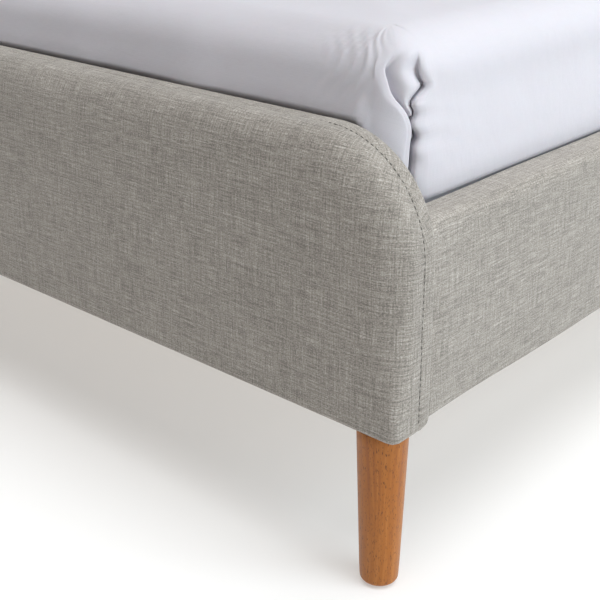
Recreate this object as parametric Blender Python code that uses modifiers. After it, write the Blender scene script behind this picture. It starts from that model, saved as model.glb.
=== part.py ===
"""Upholstered double bed: low footboard with round top corners, side rails, a headboard that
sweeps backwards, round tapered legs, a slatted base, a mattress and a duvet.

Units are metres. +Z is up and +Y runs from the foot end to the head end. The origin is on the
floor, under the middle of the bed's bounding box. Every soft cover is an outer skin round its foam,
and the foam is an inverted trough round a board.
"""

import math

import bmesh
import bpy
from mathutils import Matrix, Vector

# Mattress, and the well that it lies in
MATTRESS_WIDTH = 1.390
MATTRESS_LENGTH = 1.990
MATTRESS_THICKNESS = 0.200
MATTRESS_EDGE_RADIUS = 0.030
WELL_GAP = 0.020  # all round the mattress, for the tucked duvet

# Duvet
DUVET_THICKNESS = 0.045
DUVET_EDGE_RADIUS = 0.034
DUVET_CLEARANCE = 0.002  # beside the mattress inside it and beside the rails outside it
DUVET_TUCK = 0.070  # how far its sides reach down below the tops of the rails
DUVET_HEAD_GAP = 0.160  # bare mattress between the duvet and the headboard

# Legs
LEG_HEIGHT = 0.170
LEG_TOP_RADIUS = 0.025
LEG_FOOT_RADIUS = 0.019
LEG_FOOT_ROUNDING = 0.005
LEG_INSET = 0.034  # from the end of the board to the leg's axis

# Upholstered boards
FOOTBOARD_HEIGHT = 0.275
FOOTBOARD_THICKNESS = 0.055
HEADBOARD_HEIGHT = 0.890
HEADBOARD_THICKNESS = 0.070
BOARD_CORNER_RADIUS = 0.110
BOARD_EDGE_RADIUS = 0.016
BOARD_END_OVERHANG = 0.003  # how far a board's end stands proud of the rail's outer face
SWEEP_DEPTH = 0.085  # how far the headboard's top leans back
SWEEP_START = 0.310  # the height above the headboard's lower edge where it begins to curve
SWEEP_STEPS = 10

# Side rails
RAIL_HEIGHT = 0.197
RAIL_THICKNESS = 0.040
RAIL_EDGE_RADIUS = 0.010
RAIL_LIFT = 0.005  # the rail's lower edge above the boards' lower edge

# Upholstery layers
CLOTH = 0.0015
BOARD_FOAM = 0.012
HEAD_FOAM = 0.018
RAIL_FOAM = 0.008
LAYER_GAP = 0.0004
TURN_UNDER = 0.010  # cloth folded under the lower edge on each side of the open strip

# Slatted base
SLAT_COUNT = 13
SLAT_WIDTH = 0.090
SLAT_THICKNESS = 0.018
SLAT_END_PLAY = 0.004
SLAT_FIRST_GAP = 0.020  # from each board to the nearest slat
SLAT_DROP = 0.087  # from the rails' tops down to the slats' tops
LEDGER_SIZE = 0.030
LEDGER_END_GAP = 0.070  # room for the corner bracket

# Centre support
CENTRE_RAIL_WIDTH = 0.040
CENTRE_RAIL_DEPTH = 0.058
SADDLE_WALL = 0.003
SADDLE_LENGTH = 0.040
SADDLE_DEPTH = 0.040
CENTRE_LEG_RADIUS = 0.016
CENTRE_LEG_SPACING = 0.900
CENTRE_PLATE_RADIUS = 0.030
CENTRE_PLATE_THICKNESS = 0.004
FOOT_RADIUS = 0.020
FOOT_THICKNESS = 0.010
FOOT_STEM_LENGTH = 0.050
FOOT_TRAVEL = 0.012  # up or down from where the foot meets the floor

# Corner brackets and bolts
BRACKET_FLANGE = 0.060
BRACKET_WALL = 0.004
BRACKET_MARGIN = 0.010  # to the rail's lower edge below and the slats above
BOLT_RADIUS = 0.004
BOLT_CORE_SHARE = 0.6  # of the core's thickness
BOLT_HEAD_RADIUS = 0.0075
BOLT_HEAD_THICKNESS = 0.005
BOLT_EDGE_DISTANCE = 0.018
STUD_INTO_LEG = 0.035
STUD_INTO_BOARD = 0.024
INSERT_WALL = 0.002
INSERT_LENGTH = 0.026

# Clearances
FIT_GAP = 0.0003  # between pieces that touch
HOLE_GAP = 0.0004  # round a bolt or stud, on the radius
HOLE_OVERRUN = 0.003  # past the end of a bolt or stud

ARC_STEPS = 8
RIM_STEPS = 3
ROUND_STEPS = 24
SMALL_ROUND_STEPS = 12
SAME = 1e-5  # two coordinates closer than this are one

# Worked out from the sizes above
WELL_HALF_WIDTH = MATTRESS_WIDTH / 2 + WELL_GAP
WELL_LENGTH = MATTRESS_LENGTH + 2 * WELL_GAP
RAIL_OUTER_X = WELL_HALF_WIDTH + RAIL_THICKNESS
BOARD_WIDTH = 2 * (RAIL_OUTER_X + BOARD_END_OVERHANG)
BOARD_BOTTOM = LEG_HEIGHT + FIT_GAP
RAIL_BOTTOM = BOARD_BOTTOM + RAIL_LIFT
RAIL_TOP = RAIL_BOTTOM + RAIL_HEIGHT
SLAT_TOP = RAIL_TOP - SLAT_DROP
SLAT_BOTTOM = SLAT_TOP - SLAT_THICKNESS
SUPPORT_TOP = SLAT_BOTTOM - FIT_GAP
MATTRESS_BOTTOM = SLAT_TOP + FIT_GAP
MATTRESS_TOP = MATTRESS_BOTTOM + MATTRESS_THICKNESS


def sweep(height):
    """How far back the headboard stands at a height above its lower edge, in short straight runs."""
    runs = max(0.0, height - SWEEP_START) * SWEEP_STEPS / (HEADBOARD_HEIGHT - SWEEP_START)
    run = min(math.floor(runs), SWEEP_STEPS - 1)
    low, high = (SWEEP_DEPTH * (step / SWEEP_STEPS) ** 2 for step in (run, run + 1))
    return low + (runs - run) * (high - low)


def back_reach():
    """From the well to the rearmost point of the headboard, which is on its rounded top rim."""
    reaches = []
    for step in range(RIM_STEPS + 1):
        angle = step * math.pi / 2 / RIM_STEPS
        height = HEADBOARD_HEIGHT - BOARD_EDGE_RADIUS * (1 - math.sin(angle))
        reaches.append(HEADBOARD_THICKNESS - BOARD_EDGE_RADIUS * (1 - math.cos(angle)) + sweep(height))
    return max(reaches)


BACK_REACH = back_reach()
FOOT_FRONT_Y = -(FOOTBOARD_THICKNESS + WELL_LENGTH + BACK_REACH) / 2
WELL_FOOT_Y = FOOT_FRONT_Y + FOOTBOARD_THICKNESS
WELL_HEAD_Y = WELL_FOOT_Y + WELL_LENGTH
WELL_MIDDLE_Y = (WELL_FOOT_Y + WELL_HEAD_Y) / 2

BRACKET_BOTTOM = RAIL_BOTTOM + BRACKET_MARGIN
BRACKET_TOP = SLAT_BOTTOM - BRACKET_MARGIN
SIDES = {"right": 1, "left": -1}


# ---- materials and collections


def material(name, colour, roughness, metallic=0.0):
    made = bpy.data.materials.new(name)
    made.use_nodes = True
    shader = made.node_tree.nodes["Principled BSDF"]
    shader.inputs["Base Color"].default_value = (*colour, 1.0)
    shader.inputs["Roughness"].default_value = roughness
    shader.inputs["Metallic"].default_value = metallic
    return made


def clear_scene():
    for obj in list(bpy.data.objects):
        bpy.data.objects.remove(obj, do_unlink=True)


def collection(name):
    made = bpy.data.collections.new(name)
    bpy.context.scene.collection.children.link(made)
    return made


clear_scene()
BED = collection("sleigh_bed")
CUTTERS = collection("cutters")
CUTTERS.hide_render = True

UPHOLSTERY = material("upholstery_linen", (0.36, 0.34, 0.31), 0.92)
FOAM = material("foam", (0.85, 0.80, 0.62), 0.95)
BOARD = material("board", (0.62, 0.48, 0.32), 0.80)
LEG_WOOD = material("stained_oak", (0.42, 0.19, 0.07), 0.45)
PINE = material("pine", (0.74, 0.56, 0.36), 0.65)
ZINC = material("zinc_steel", (0.62, 0.62, 0.60), 0.35, 1.0)
BLACK_STEEL = material("black_steel", (0.03, 0.03, 0.03), 0.45, 0.8)
BLACK_PLASTIC = material("black_plastic", (0.02, 0.02, 0.02), 0.55)
TICKING = material("mattress_ticking", (0.80, 0.80, 0.78), 0.90)
COTTON = material("white_cotton", (0.83, 0.83, 0.86), 0.85)


# ---- modelling helpers


def link(name, mesh, finish=None, cutter=False):
    """Puts a mesh in the scene as a part of the bed, or as a cutter that no render shows."""
    obj = bpy.data.objects.new(name, mesh)
    (CUTTERS if cutter else BED).objects.link(obj)
    if cutter:
        obj.hide_render = True
        obj.display_type = "WIRE"
    else:
        mesh.materials.clear()
        mesh.materials.append(finish)
    return obj


def box_mesh(low, high):
    """A box from its lowest corner to its highest."""
    low = Vector(low)
    high = Vector(high)
    bm = bmesh.new()
    bmesh.ops.create_cube(bm, size=1.0)
    bmesh.ops.scale(bm, vec=high - low, verts=bm.verts)
    bmesh.ops.translate(bm, vec=(low + high) / 2, verts=bm.verts)
    mesh = bpy.data.meshes.new("box")
    bm.to_mesh(mesh)
    bm.free()
    return mesh


def rod_mesh(radius, start, end, steps=SMALL_ROUND_STEPS):
    """A round bar between two points."""
    start = Vector(start)
    end = Vector(end)
    along = end - start
    bm = bmesh.new()
    bmesh.ops.create_cone(
        bm, cap_ends=True, segments=steps, radius1=radius, radius2=radius, depth=along.length
    )
    turn = Vector((0, 0, 1)).rotation_difference(along).to_matrix().to_4x4()
    bmesh.ops.transform(bm, matrix=Matrix.Translation((start + end) / 2) @ turn, verts=bm.verts)
    mesh = bpy.data.meshes.new("rod")
    bm.to_mesh(mesh)
    bm.free()
    mesh.shade_smooth()
    mesh.set_sharp_from_angle(angle=math.radians(40))
    return mesh


def arch_outline(width, low, high, radius):
    """An outline that is square at the height low and has two round corners at the height high."""
    half = width / 2
    points = [(-half, low), (half, low)]
    if radius <= 0:
        return points + [(half, high), (-half, high)]
    for centre_x, start in ((half - radius, 0.0), (radius - half, math.pi / 2)):
        for step in range(ARC_STEPS + 1):
            angle = start + step * math.pi / 2 / ARC_STEPS
            points.append(
                (centre_x + radius * math.cos(angle), high - radius + radius * math.sin(angle))
            )
    return points


def slab_mesh(outline, depth):
    """The outline, drawn in the XZ plane, with a depth along Y centred on Y = 0."""
    curve = bpy.data.curves.new("outline", "CURVE")
    curve.dimensions = "2D"
    curve.fill_mode = "BOTH"
    curve.extrude = depth / 2
    spline = curve.splines.new("POLY")
    spline.points.add(len(outline) - 1)
    for point, (x, z) in zip(spline.points, outline):
        point.co = (x, z, 0.0, 1.0)
    spline.use_cyclic_u = True
    obj = bpy.data.objects.new("outline", curve)
    CUTTERS.objects.link(obj)
    graph = bpy.context.evaluated_depsgraph_get()
    mesh = bpy.data.meshes.new_from_object(obj.evaluated_get(graph))
    bpy.data.objects.remove(obj)
    bm = bmesh.new()
    bm.from_mesh(mesh)
    bmesh.ops.remove_doubles(bm, verts=bm.verts, dist=SAME)
    bmesh.ops.rotate(bm, verts=bm.verts, matrix=Matrix.Rotation(math.pi / 2, 3, "X"))
    bmesh.ops.dissolve_limit(bm, angle_limit=0.01, verts=bm.verts, edges=bm.edges)
    bmesh.ops.recalc_face_normals(bm, faces=bm.faces)
    bm.to_mesh(mesh)
    bm.free()
    return mesh


def round_rims(mesh, radius):
    """Rounds the front and back rims of a slab and leaves its lower edges square."""
    bm = bmesh.new()
    bm.from_mesh(mesh)
    floor = min(v.co.z for v in bm.verts)
    rims = [
        e
        for e in bm.edges
        if abs(e.verts[0].co.y - e.verts[1].co.y) < SAME and max(v.co.z for v in e.verts) > floor + SAME
    ]
    bmesh.ops.bevel(
        bm, geom=rims, offset=radius, segments=RIM_STEPS, profile=0.5, affect="EDGES",
        clamp_overlap=True,
    )
    bm.to_mesh(mesh)
    bm.free()


def cut(obj, cutters):
    """Subtracts each cutter from the object with a Boolean modifier."""
    for cutter in cutters:
        modifier = obj.modifiers.new("cut", "BOOLEAN")
        modifier.operation = "DIFFERENCE"
        modifier.solver = "EXACT"
        modifier.object = cutter


def cutter_box(name, low, high):
    return link(name, box_mesh(low, high), cutter=True)


def cutter_rod(name, radius, start, end):
    return link(name, rod_mesh(radius, start, end), cutter=True)


def apply_modifiers(obj):
    """Replaces the object's mesh by what its modifiers make of it."""
    graph = bpy.context.evaluated_depsgraph_get()
    graph.update()
    mesh = bpy.data.meshes.new_from_object(obj.evaluated_get(graph))
    obj.modifiers.clear()
    obj.data = mesh


def turned(name, profile, finish, place, steps=ROUND_STEPS):
    """A solid of revolution about +Z from (radius, height) points, listed down the outer side."""
    mesh = bpy.data.meshes.new(name)
    points = [(radius, 0.0, height) for radius, height in profile]
    mesh.from_pydata(points, [(i, i + 1) for i in range(len(points) - 1)], [])
    obj = link(name, mesh, finish)
    screw = obj.modifiers.new("turn", "SCREW")
    screw.steps = steps
    screw.render_steps = steps
    screw.use_merge_vertices = True
    screw.merge_threshold = 0.0001
    screw.use_smooth_shade = True
    obj.location = place
    return obj


# ---- upholstered boards and rails


def insets(foam):
    """How far each layer's surfaces lie inside the outer face of the cloth."""
    foam_outside = CLOTH + LAYER_GAP
    foam_inside = foam_outside + foam
    return {
        "cloth_inside": CLOTH,
        "foam_outside": foam_outside,
        "foam_inside": foam_inside,
        "core": foam_inside + LAYER_GAP,
    }


def board_slab(height, thickness, inset, low):
    """A board's shape from the height low upwards, moved in by the inset on its other sides."""
    outline = arch_outline(BOARD_WIDTH - 2 * inset, low, height - inset, BOARD_CORNER_RADIUS - inset)
    mesh = slab_mesh(outline, thickness - 2 * inset)
    if BOARD_EDGE_RADIUS - inset > LAYER_GAP:
        round_rims(mesh, BOARD_EDGE_RADIUS - inset)
    return mesh


def footboard_slab(inset, low):
    return board_slab(FOOTBOARD_HEIGHT, FOOTBOARD_THICKNESS, inset, low)


def headboard_slab(inset, low):
    return board_slab(HEADBOARD_HEIGHT, HEADBOARD_THICKNESS, inset, low)


def rail_slab(inset, low):
    """A side rail's shape, lying along Y, from the height low upwards."""
    outline = arch_outline(
        RAIL_THICKNESS - 2 * inset, low, RAIL_HEIGHT - inset, RAIL_EDGE_RADIUS - inset
    )
    return slab_mesh(outline, WELL_LENGTH - 2 * FIT_GAP - 2 * inset)


def upholstered(name, slab, foam, width, depth):
    """The cloth, foam and core of a board or rail whose lower edge is at Z = 0.

    slab(inset, low) makes its shape. The cloth is folded under on both sides of the lower edge and
    leaves a strip open there. The width and depth are those of the lower edge.
    """
    layer = insets(foam)
    floor = CLOTH + LAYER_GAP
    half_x = width / 2 - TURN_UNDER
    half_y = depth / 2 - TURN_UNDER

    cloth = link(name + "_cover", slab(0.0, 0.0), UPHOLSTERY)
    hollow = link(name + "_hollow", slab(layer["cloth_inside"], CLOTH), cutter=True)
    strip = cutter_box(name + "_strip", (-half_x, -half_y, -CLOTH), (half_x, half_y, 2 * CLOTH))
    cut(cloth, (hollow, strip))

    padding = link(name + "_foam", slab(layer["foam_outside"], floor), FOAM)
    trough = link(name + "_trough", slab(layer["foam_inside"], -CLOTH), cutter=True)
    cut(padding, (trough,))

    core = link(name + "_core", slab(layer["core"], floor), BOARD)
    for obj in (cloth, padding):
        apply_modifiers(obj)
    return cloth, padding, core


def bolt_points():
    """Each corner bolt's side and level, and its X and Z."""
    x = WELL_HALF_WIDTH - BRACKET_FLANGE + BOLT_EDGE_DISTANCE
    heights = {
        "upper": BRACKET_TOP - BOLT_EDGE_DISTANCE,
        "lower": BRACKET_BOTTOM + BOLT_EDGE_DISTANCE,
    }
    return [(side, level, SIDES[side] * x, z) for side in SIDES for level, z in heights.items()]


def bolt_reach(thickness, foam):
    """How far a bolt goes into a board from its inner face."""
    core = insets(foam)["core"]
    return core + BOLT_CORE_SHARE * (thickness - 2 * core)


def drill_for_bolts(end, pieces, board_y, outward, reach):
    """Bolt holes through a board's cloth and foam and into its core."""
    for side, level, x, z in bolt_points():
        hole = cutter_rod(
            f"hole_{end}_{side}_{level}",
            BOLT_RADIUS + HOLE_GAP,
            (x, board_y - outward * HOLE_OVERRUN, z),
            (x, board_y + outward * (reach + HOLE_OVERRUN), z),
        )
        for piece in pieces:
            cut(piece, (hole,))


def bore_for_inserts(core, y):
    """Blind bores in a core's lower edge for the leg inserts."""
    radius = BOLT_RADIUS + HOLE_GAP + INSERT_WALL + HOLE_GAP
    top = LEG_HEIGHT + STUD_INTO_BOARD + 2 * HOLE_OVERRUN
    for side, sign in SIDES.items():
        x = sign * (BOARD_WIDTH / 2 - LEG_INSET)
        hole = cutter_rod(
            f"bore_{core.name}_{side}", radius, (x, y, BOARD_BOTTOM - HOLE_OVERRUN), (x, y, top)
        )
        cut(core, (hole,))


def sweep_back(obj):
    """Bends a headboard layer backwards above its straight lower part."""
    bm = bmesh.new()
    bm.from_mesh(obj.data)
    for step in range(SWEEP_STEPS):
        height = SWEEP_START + step * (HEADBOARD_HEIGHT - SWEEP_START) / SWEEP_STEPS
        geometry = bm.verts[:] + bm.edges[:] + bm.faces[:]
        bmesh.ops.bisect_plane(bm, geom=geometry, plane_co=(0, 0, height), plane_no=(0, 0, 1))
    for vertex in bm.verts:
        vertex.co.y += sweep(vertex.co.z)
    bm.to_mesh(obj.data)
    bm.free()


def lift(pieces, x, y, z):
    for piece in pieces:
        piece.data.transform(Matrix.Translation((x, y, z)))


def footboard():
    pieces = upholstered("footboard", footboard_slab, BOARD_FOAM, BOARD_WIDTH, FOOTBOARD_THICKNESS)
    middle_y = FOOT_FRONT_Y + FOOTBOARD_THICKNESS / 2
    lift(pieces, 0.0, middle_y, BOARD_BOTTOM)
    reach = bolt_reach(FOOTBOARD_THICKNESS, BOARD_FOAM)
    drill_for_bolts("front", pieces, WELL_FOOT_Y, -1, reach)
    bore_for_inserts(pieces[2], middle_y)


def headboard():
    pieces = upholstered("headboard", headboard_slab, HEAD_FOAM, BOARD_WIDTH, HEADBOARD_THICKNESS)
    for piece in pieces:
        sweep_back(piece)
    middle_y = WELL_HEAD_Y + HEADBOARD_THICKNESS / 2
    lift(pieces, 0.0, middle_y, BOARD_BOTTOM)
    reach = bolt_reach(HEADBOARD_THICKNESS, HEAD_FOAM)
    drill_for_bolts("rear", pieces, WELL_HEAD_Y, 1, reach)
    bore_for_inserts(pieces[2], middle_y)


def side_rails():
    for side, sign in SIDES.items():
        pieces = upholstered(f"{side}_rail", rail_slab, RAIL_FOAM, RAIL_THICKNESS, WELL_LENGTH)
        lift(pieces, sign * (WELL_HALF_WIDTH + RAIL_THICKNESS / 2), WELL_MIDDLE_Y, RAIL_BOTTOM)


# ---- legs and their fixings


def leg_profile():
    """A tapered leg with a rounded foot and a blind bore for its stud in the top."""
    bore = BOLT_RADIUS + HOLE_GAP
    bore_floor = LEG_HEIGHT - STUD_INTO_LEG - HOLE_OVERRUN
    profile = [(0.0, bore_floor), (bore, bore_floor), (bore, LEG_HEIGHT), (LEG_TOP_RADIUS, LEG_HEIGHT)]
    rounding = LEG_FOOT_ROUNDING
    centre = LEG_FOOT_RADIUS - rounding
    for step in range(4):
        angle = step * math.pi / 2 / 3
        profile.append((centre + rounding * math.cos(angle), rounding * (1 - math.sin(angle))))
    profile.append((0.0, 0.0))
    return profile


def insert_profile():
    """A threaded insert as a plain sleeve. Its rim ends close the ring."""
    inner = BOLT_RADIUS + HOLE_GAP
    outer = inner + INSERT_WALL
    return [(inner, INSERT_LENGTH), (outer, INSERT_LENGTH), (outer, 0.0), (inner, 0.0), (inner, INSERT_LENGTH)]


def stud_profile():
    length = STUD_INTO_LEG + STUD_INTO_BOARD
    return [(0.0, length), (BOLT_RADIUS, length), (BOLT_RADIUS, 0.0), (0.0, 0.0)]


def legs():
    """Four legs, each held by a stud that screws into an insert in the board above."""
    ends = {
        "front": FOOT_FRONT_Y + FOOTBOARD_THICKNESS / 2,
        "rear": WELL_HEAD_Y + HEADBOARD_THICKNESS / 2,
    }
    stud_z = LEG_HEIGHT - STUD_INTO_LEG
    insert_z = BOARD_BOTTOM + CLOTH + LAYER_GAP
    for end, y in ends.items():
        for side, sign in SIDES.items():
            x = sign * (BOARD_WIDTH / 2 - LEG_INSET)
            which = f"{end}_{side}"
            turned(f"leg_{which}", leg_profile(), LEG_WOOD, (x, y, 0.0))
            turned(f"leg_stud_{which}", stud_profile(), ZINC, (x, y, stud_z), SMALL_ROUND_STEPS)
            insert_place = (x, y, insert_z)
            turned(f"leg_insert_{which}", insert_profile(), ZINC, insert_place, SMALL_ROUND_STEPS)


# ---- corner brackets

ENDS = {
    "front": (WELL_FOOT_Y, -1, FOOTBOARD_THICKNESS, BOARD_FOAM),
    "rear": (WELL_HEAD_Y, 1, HEADBOARD_THICKNESS, HEAD_FOAM),
}


def corner_bracket(end, board_y, outward, side, sign):
    """An angle bracket in a corner of the well, under the slats, with two bolt holes."""
    wall = Vector((sign * (WELL_HALF_WIDTH - FIT_GAP), board_y - outward * FIT_GAP))
    inward = Vector((-sign, -outward))
    free = wall + inward * BRACKET_FLANGE
    inner = wall + inward * BRACKET_WALL
    beyond = free + inward * HOLE_OVERRUN
    name = f"corner_bracket_{end}_{side}"
    bracket = link(name, upright_mesh(wall, free, BRACKET_BOTTOM, BRACKET_TOP), ZINC)
    hollow = upright_mesh(inner, beyond, BRACKET_BOTTOM - HOLE_OVERRUN, BRACKET_TOP + HOLE_OVERRUN)
    cut(bracket, (link(name + "_hollow", hollow, cutter=True),))
    for hole_side, level, x, z in bolt_points():
        if hole_side == side:
            hole = cutter_rod(
                f"{name}_hole_{level}",
                BOLT_RADIUS + HOLE_GAP,
                (x, board_y + outward * HOLE_OVERRUN, z),
                (x, board_y - outward * 3 * BRACKET_WALL, z),
            )
            cut(bracket, (hole,))


def upright_mesh(corner, opposite, low, high):
    """A box between two opposite corners of its plan."""
    xs = sorted((corner[0], opposite[0]))
    ys = sorted((corner[1], opposite[1]))
    return box_mesh((xs[0], ys[0], low), (xs[1], ys[1], high))


def corner_brackets():
    for end, (board_y, outward, _, _) in ENDS.items():
        for side, sign in SIDES.items():
            corner_bracket(end, board_y, outward, side, sign)


def corner_bolts():
    """Round-headed bolts through the brackets into the boards, two in each corner."""
    seat = FIT_GAP + BRACKET_WALL + FIT_GAP
    for end, (board_y, outward, thickness, foam) in ENDS.items():
        tip = -(seat + bolt_reach(thickness, foam))
        profile = [
            (0.0, BOLT_HEAD_THICKNESS),
            (BOLT_HEAD_RADIUS * 0.6, BOLT_HEAD_THICKNESS),
            (BOLT_HEAD_RADIUS, BOLT_HEAD_THICKNESS * 0.4),
            (BOLT_HEAD_RADIUS, 0.0),
            (BOLT_RADIUS, 0.0),
            (BOLT_RADIUS, tip),
            (0.0, tip),
        ]
        for side, level, x, z in bolt_points():
            name = f"corner_bolt_{end}_{side}_{level}"
            bolt = turned(name, profile, ZINC, (x, board_y - outward * seat, z), SMALL_ROUND_STEPS)
            bolt.rotation_euler = (outward * math.pi / 2, 0.0, 0.0)


# ---- slatted base


def ledgers():
    """A strip along the inner face of each rail that carries the slats' ends."""
    for side, sign in SIDES.items():
        xs = sorted((sign * (WELL_HALF_WIDTH - FIT_GAP), sign * (WELL_HALF_WIDTH - LEDGER_SIZE)))
        low = (xs[0], WELL_FOOT_Y + LEDGER_END_GAP, SUPPORT_TOP - LEDGER_SIZE)
        high = (xs[1], WELL_HEAD_Y - LEDGER_END_GAP, SUPPORT_TOP)
        link(f"slat_ledger_{side}", box_mesh(low, high), PINE)


def slats():
    half = WELL_HALF_WIDTH - SLAT_END_PLAY
    pitch = (WELL_LENGTH - 2 * SLAT_FIRST_GAP - SLAT_WIDTH) / (SLAT_COUNT - 1)
    for number in range(SLAT_COUNT):
        start = WELL_FOOT_Y + SLAT_FIRST_GAP + number * pitch
        mesh = box_mesh((-half, start, SLAT_BOTTOM), (half, start + SLAT_WIDTH, SLAT_TOP))
        link(f"slat_{number + 1:02d}", mesh, PINE)


def centre_rail():
    """A beam under the middle of the slats, whose ends drop into saddles on the boards."""
    half = CENTRE_RAIL_WIDTH / 2
    bottom = SUPPORT_TOP - CENTRE_RAIL_DEPTH
    end_gap = FIT_GAP + SADDLE_WALL + FIT_GAP
    low = (-half, WELL_FOOT_Y + end_gap, bottom)
    high = (half, WELL_HEAD_Y - end_gap, SUPPORT_TOP)
    link("centre_rail", box_mesh(low, high), PINE)
    inner = half + FIT_GAP
    outer = inner + SADDLE_WALL
    floor = bottom - FIT_GAP
    for end, (board_y, outward, _, _) in ENDS.items():
        back = board_y - outward * FIT_GAP
        front = board_y - outward * SADDLE_LENGTH
        body = upright_mesh((-outer, back), (outer, front), floor - SADDLE_WALL, floor + SADDLE_DEPTH)
        saddle = link(f"rail_saddle_{end}", body, ZINC)
        back -= outward * SADDLE_WALL
        front -= outward * HOLE_OVERRUN
        trough = upright_mesh((-inner, back), (inner, front), floor, floor + 2 * SADDLE_DEPTH)
        cut(saddle, (link(f"saddle_trough_{end}", trough, cutter=True),))


def centre_leg_profile():
    """A round post with a flat plate on top and a bore in its foot for the levelling screw."""
    plate_top = SUPPORT_TOP - CENTRE_RAIL_DEPTH - FIT_GAP
    neck = plate_top - CENTRE_PLATE_THICKNESS
    bottom = FOOT_THICKNESS + FOOT_TRAVEL + HOLE_OVERRUN
    bore = BOLT_RADIUS + HOLE_GAP
    bore_top = FOOT_THICKNESS + FOOT_STEM_LENGTH + FOOT_TRAVEL + HOLE_OVERRUN
    return [
        (0.0, plate_top),
        (CENTRE_PLATE_RADIUS, plate_top),
        (CENTRE_PLATE_RADIUS, neck),
        (CENTRE_LEG_RADIUS, neck),
        (CENTRE_LEG_RADIUS, bottom),
        (bore, bottom),
        (bore, bore_top),
        (0.0, bore_top),
    ]


def levelling_foot_profile():
    """A flat pad with a screw standing on it."""
    top = FOOT_THICKNESS + FOOT_STEM_LENGTH
    return [
        (0.0, top),
        (BOLT_RADIUS, top),
        (BOLT_RADIUS, FOOT_THICKNESS),
        (FOOT_RADIUS * 0.7, FOOT_THICKNESS),
        (FOOT_RADIUS, FOOT_THICKNESS * 0.4),
        (FOOT_RADIUS, 0.0),
        (0.0, 0.0),
    ]


def centre_legs():
    """Two posts under the centre rail, each with a levelling foot that screws into it."""
    for number, side in ((1, -1), (2, 1)):
        place = (0.0, WELL_MIDDLE_Y + side * CENTRE_LEG_SPACING / 2, 0.0)
        turned(f"centre_leg_{number}", centre_leg_profile(), BLACK_STEEL, place)
        turned(f"levelling_foot_{number}", levelling_foot_profile(), BLACK_PLASTIC, place)


# ---- mattress and duvet


def soften(obj, radius, segments):
    bevel = obj.modifiers.new("soften", "BEVEL")
    bevel.width = radius
    bevel.segments = segments
    bevel.limit_method = "ANGLE"


def mattress():
    half_width = MATTRESS_WIDTH / 2
    half_length = MATTRESS_LENGTH / 2
    low = (-half_width, WELL_MIDDLE_Y - half_length, MATTRESS_BOTTOM)
    high = (half_width, WELL_MIDDLE_Y + half_length, MATTRESS_TOP)
    soften(link("mattress", box_mesh(low, high), TICKING), MATTRESS_EDGE_RADIUS, 2)


def duvet():
    """A cap over the mattress, tucked in at the foot and both sides and open at the head."""
    side = WELL_HALF_WIDTH - DUVET_CLEARANCE
    foot = WELL_FOOT_Y + DUVET_CLEARANCE
    head = WELL_HEAD_Y - DUVET_HEAD_GAP
    bottom = RAIL_TOP - DUVET_TUCK
    underside = MATTRESS_TOP + FIT_GAP
    cover = link("duvet", box_mesh((-side, foot, bottom), (side, head, underside + DUVET_THICKNESS)),
                 COTTON)
    round_duvet(cover.data, bottom, head)
    inside = MATTRESS_WIDTH / 2 + DUVET_CLEARANCE
    inside_foot = WELL_MIDDLE_Y - MATTRESS_LENGTH / 2 - DUVET_CLEARANCE
    well = cutter_box(
        "duvet_inside",
        (-inside, inside_foot, bottom - HOLE_OVERRUN),
        (inside, head + HOLE_OVERRUN, underside),
    )
    cut(cover, (well,))


def round_duvet(mesh, bottom, head):
    """Rounds the duvet's edges except those of its open underside and its head end."""
    bm = bmesh.new()
    bm.from_mesh(mesh)
    edges = [
        e
        for e in bm.edges
        if max(v.co.z for v in e.verts) > bottom + SAME and min(v.co.y for v in e.verts) < head - SAME
    ]
    bmesh.ops.bevel(
        bm, geom=edges, offset=DUVET_EDGE_RADIUS, segments=RIM_STEPS, profile=0.5, affect="EDGES"
    )
    bm.to_mesh(mesh)
    bm.free()


footboard()
headboard()
side_rails()
legs()
corner_brackets()
corner_bolts()
ledgers()
slats()
centre_rail()
centre_legs()
mattress()
duvet()
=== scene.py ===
"""Sleigh bed in grey linen.

Builds the visible bed round its frame: padded covers with topstitched seams, tapered legs,
a slatted base with its fixings, a quilted mattress and a loose duvet, and a plain studio.
"""

import math

import bmesh
import bpy
import numpy as np
from mathutils import Matrix, Vector
from mathutils.bvhtree import BVHTree
from mathutils.interpolate import poly_3d_calc


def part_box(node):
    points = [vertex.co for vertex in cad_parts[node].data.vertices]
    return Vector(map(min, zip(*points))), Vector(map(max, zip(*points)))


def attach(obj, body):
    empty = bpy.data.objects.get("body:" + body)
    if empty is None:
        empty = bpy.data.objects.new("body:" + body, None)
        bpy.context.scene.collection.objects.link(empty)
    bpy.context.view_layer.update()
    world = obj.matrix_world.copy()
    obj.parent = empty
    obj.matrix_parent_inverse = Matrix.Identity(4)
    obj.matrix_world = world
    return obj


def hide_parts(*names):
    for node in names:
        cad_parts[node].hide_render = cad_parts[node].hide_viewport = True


bl_info = {
    "name": "Sleigh Bed",
    "version": (1, 0, 0),
    "blender": (4, 5, 0),
    "location": "View3D > Sidebar > Sleigh Bed",
    "description": "Builds an upholstered sleigh bed with its bedding and fixings",
    "category": "Add Mesh",
}

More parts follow.
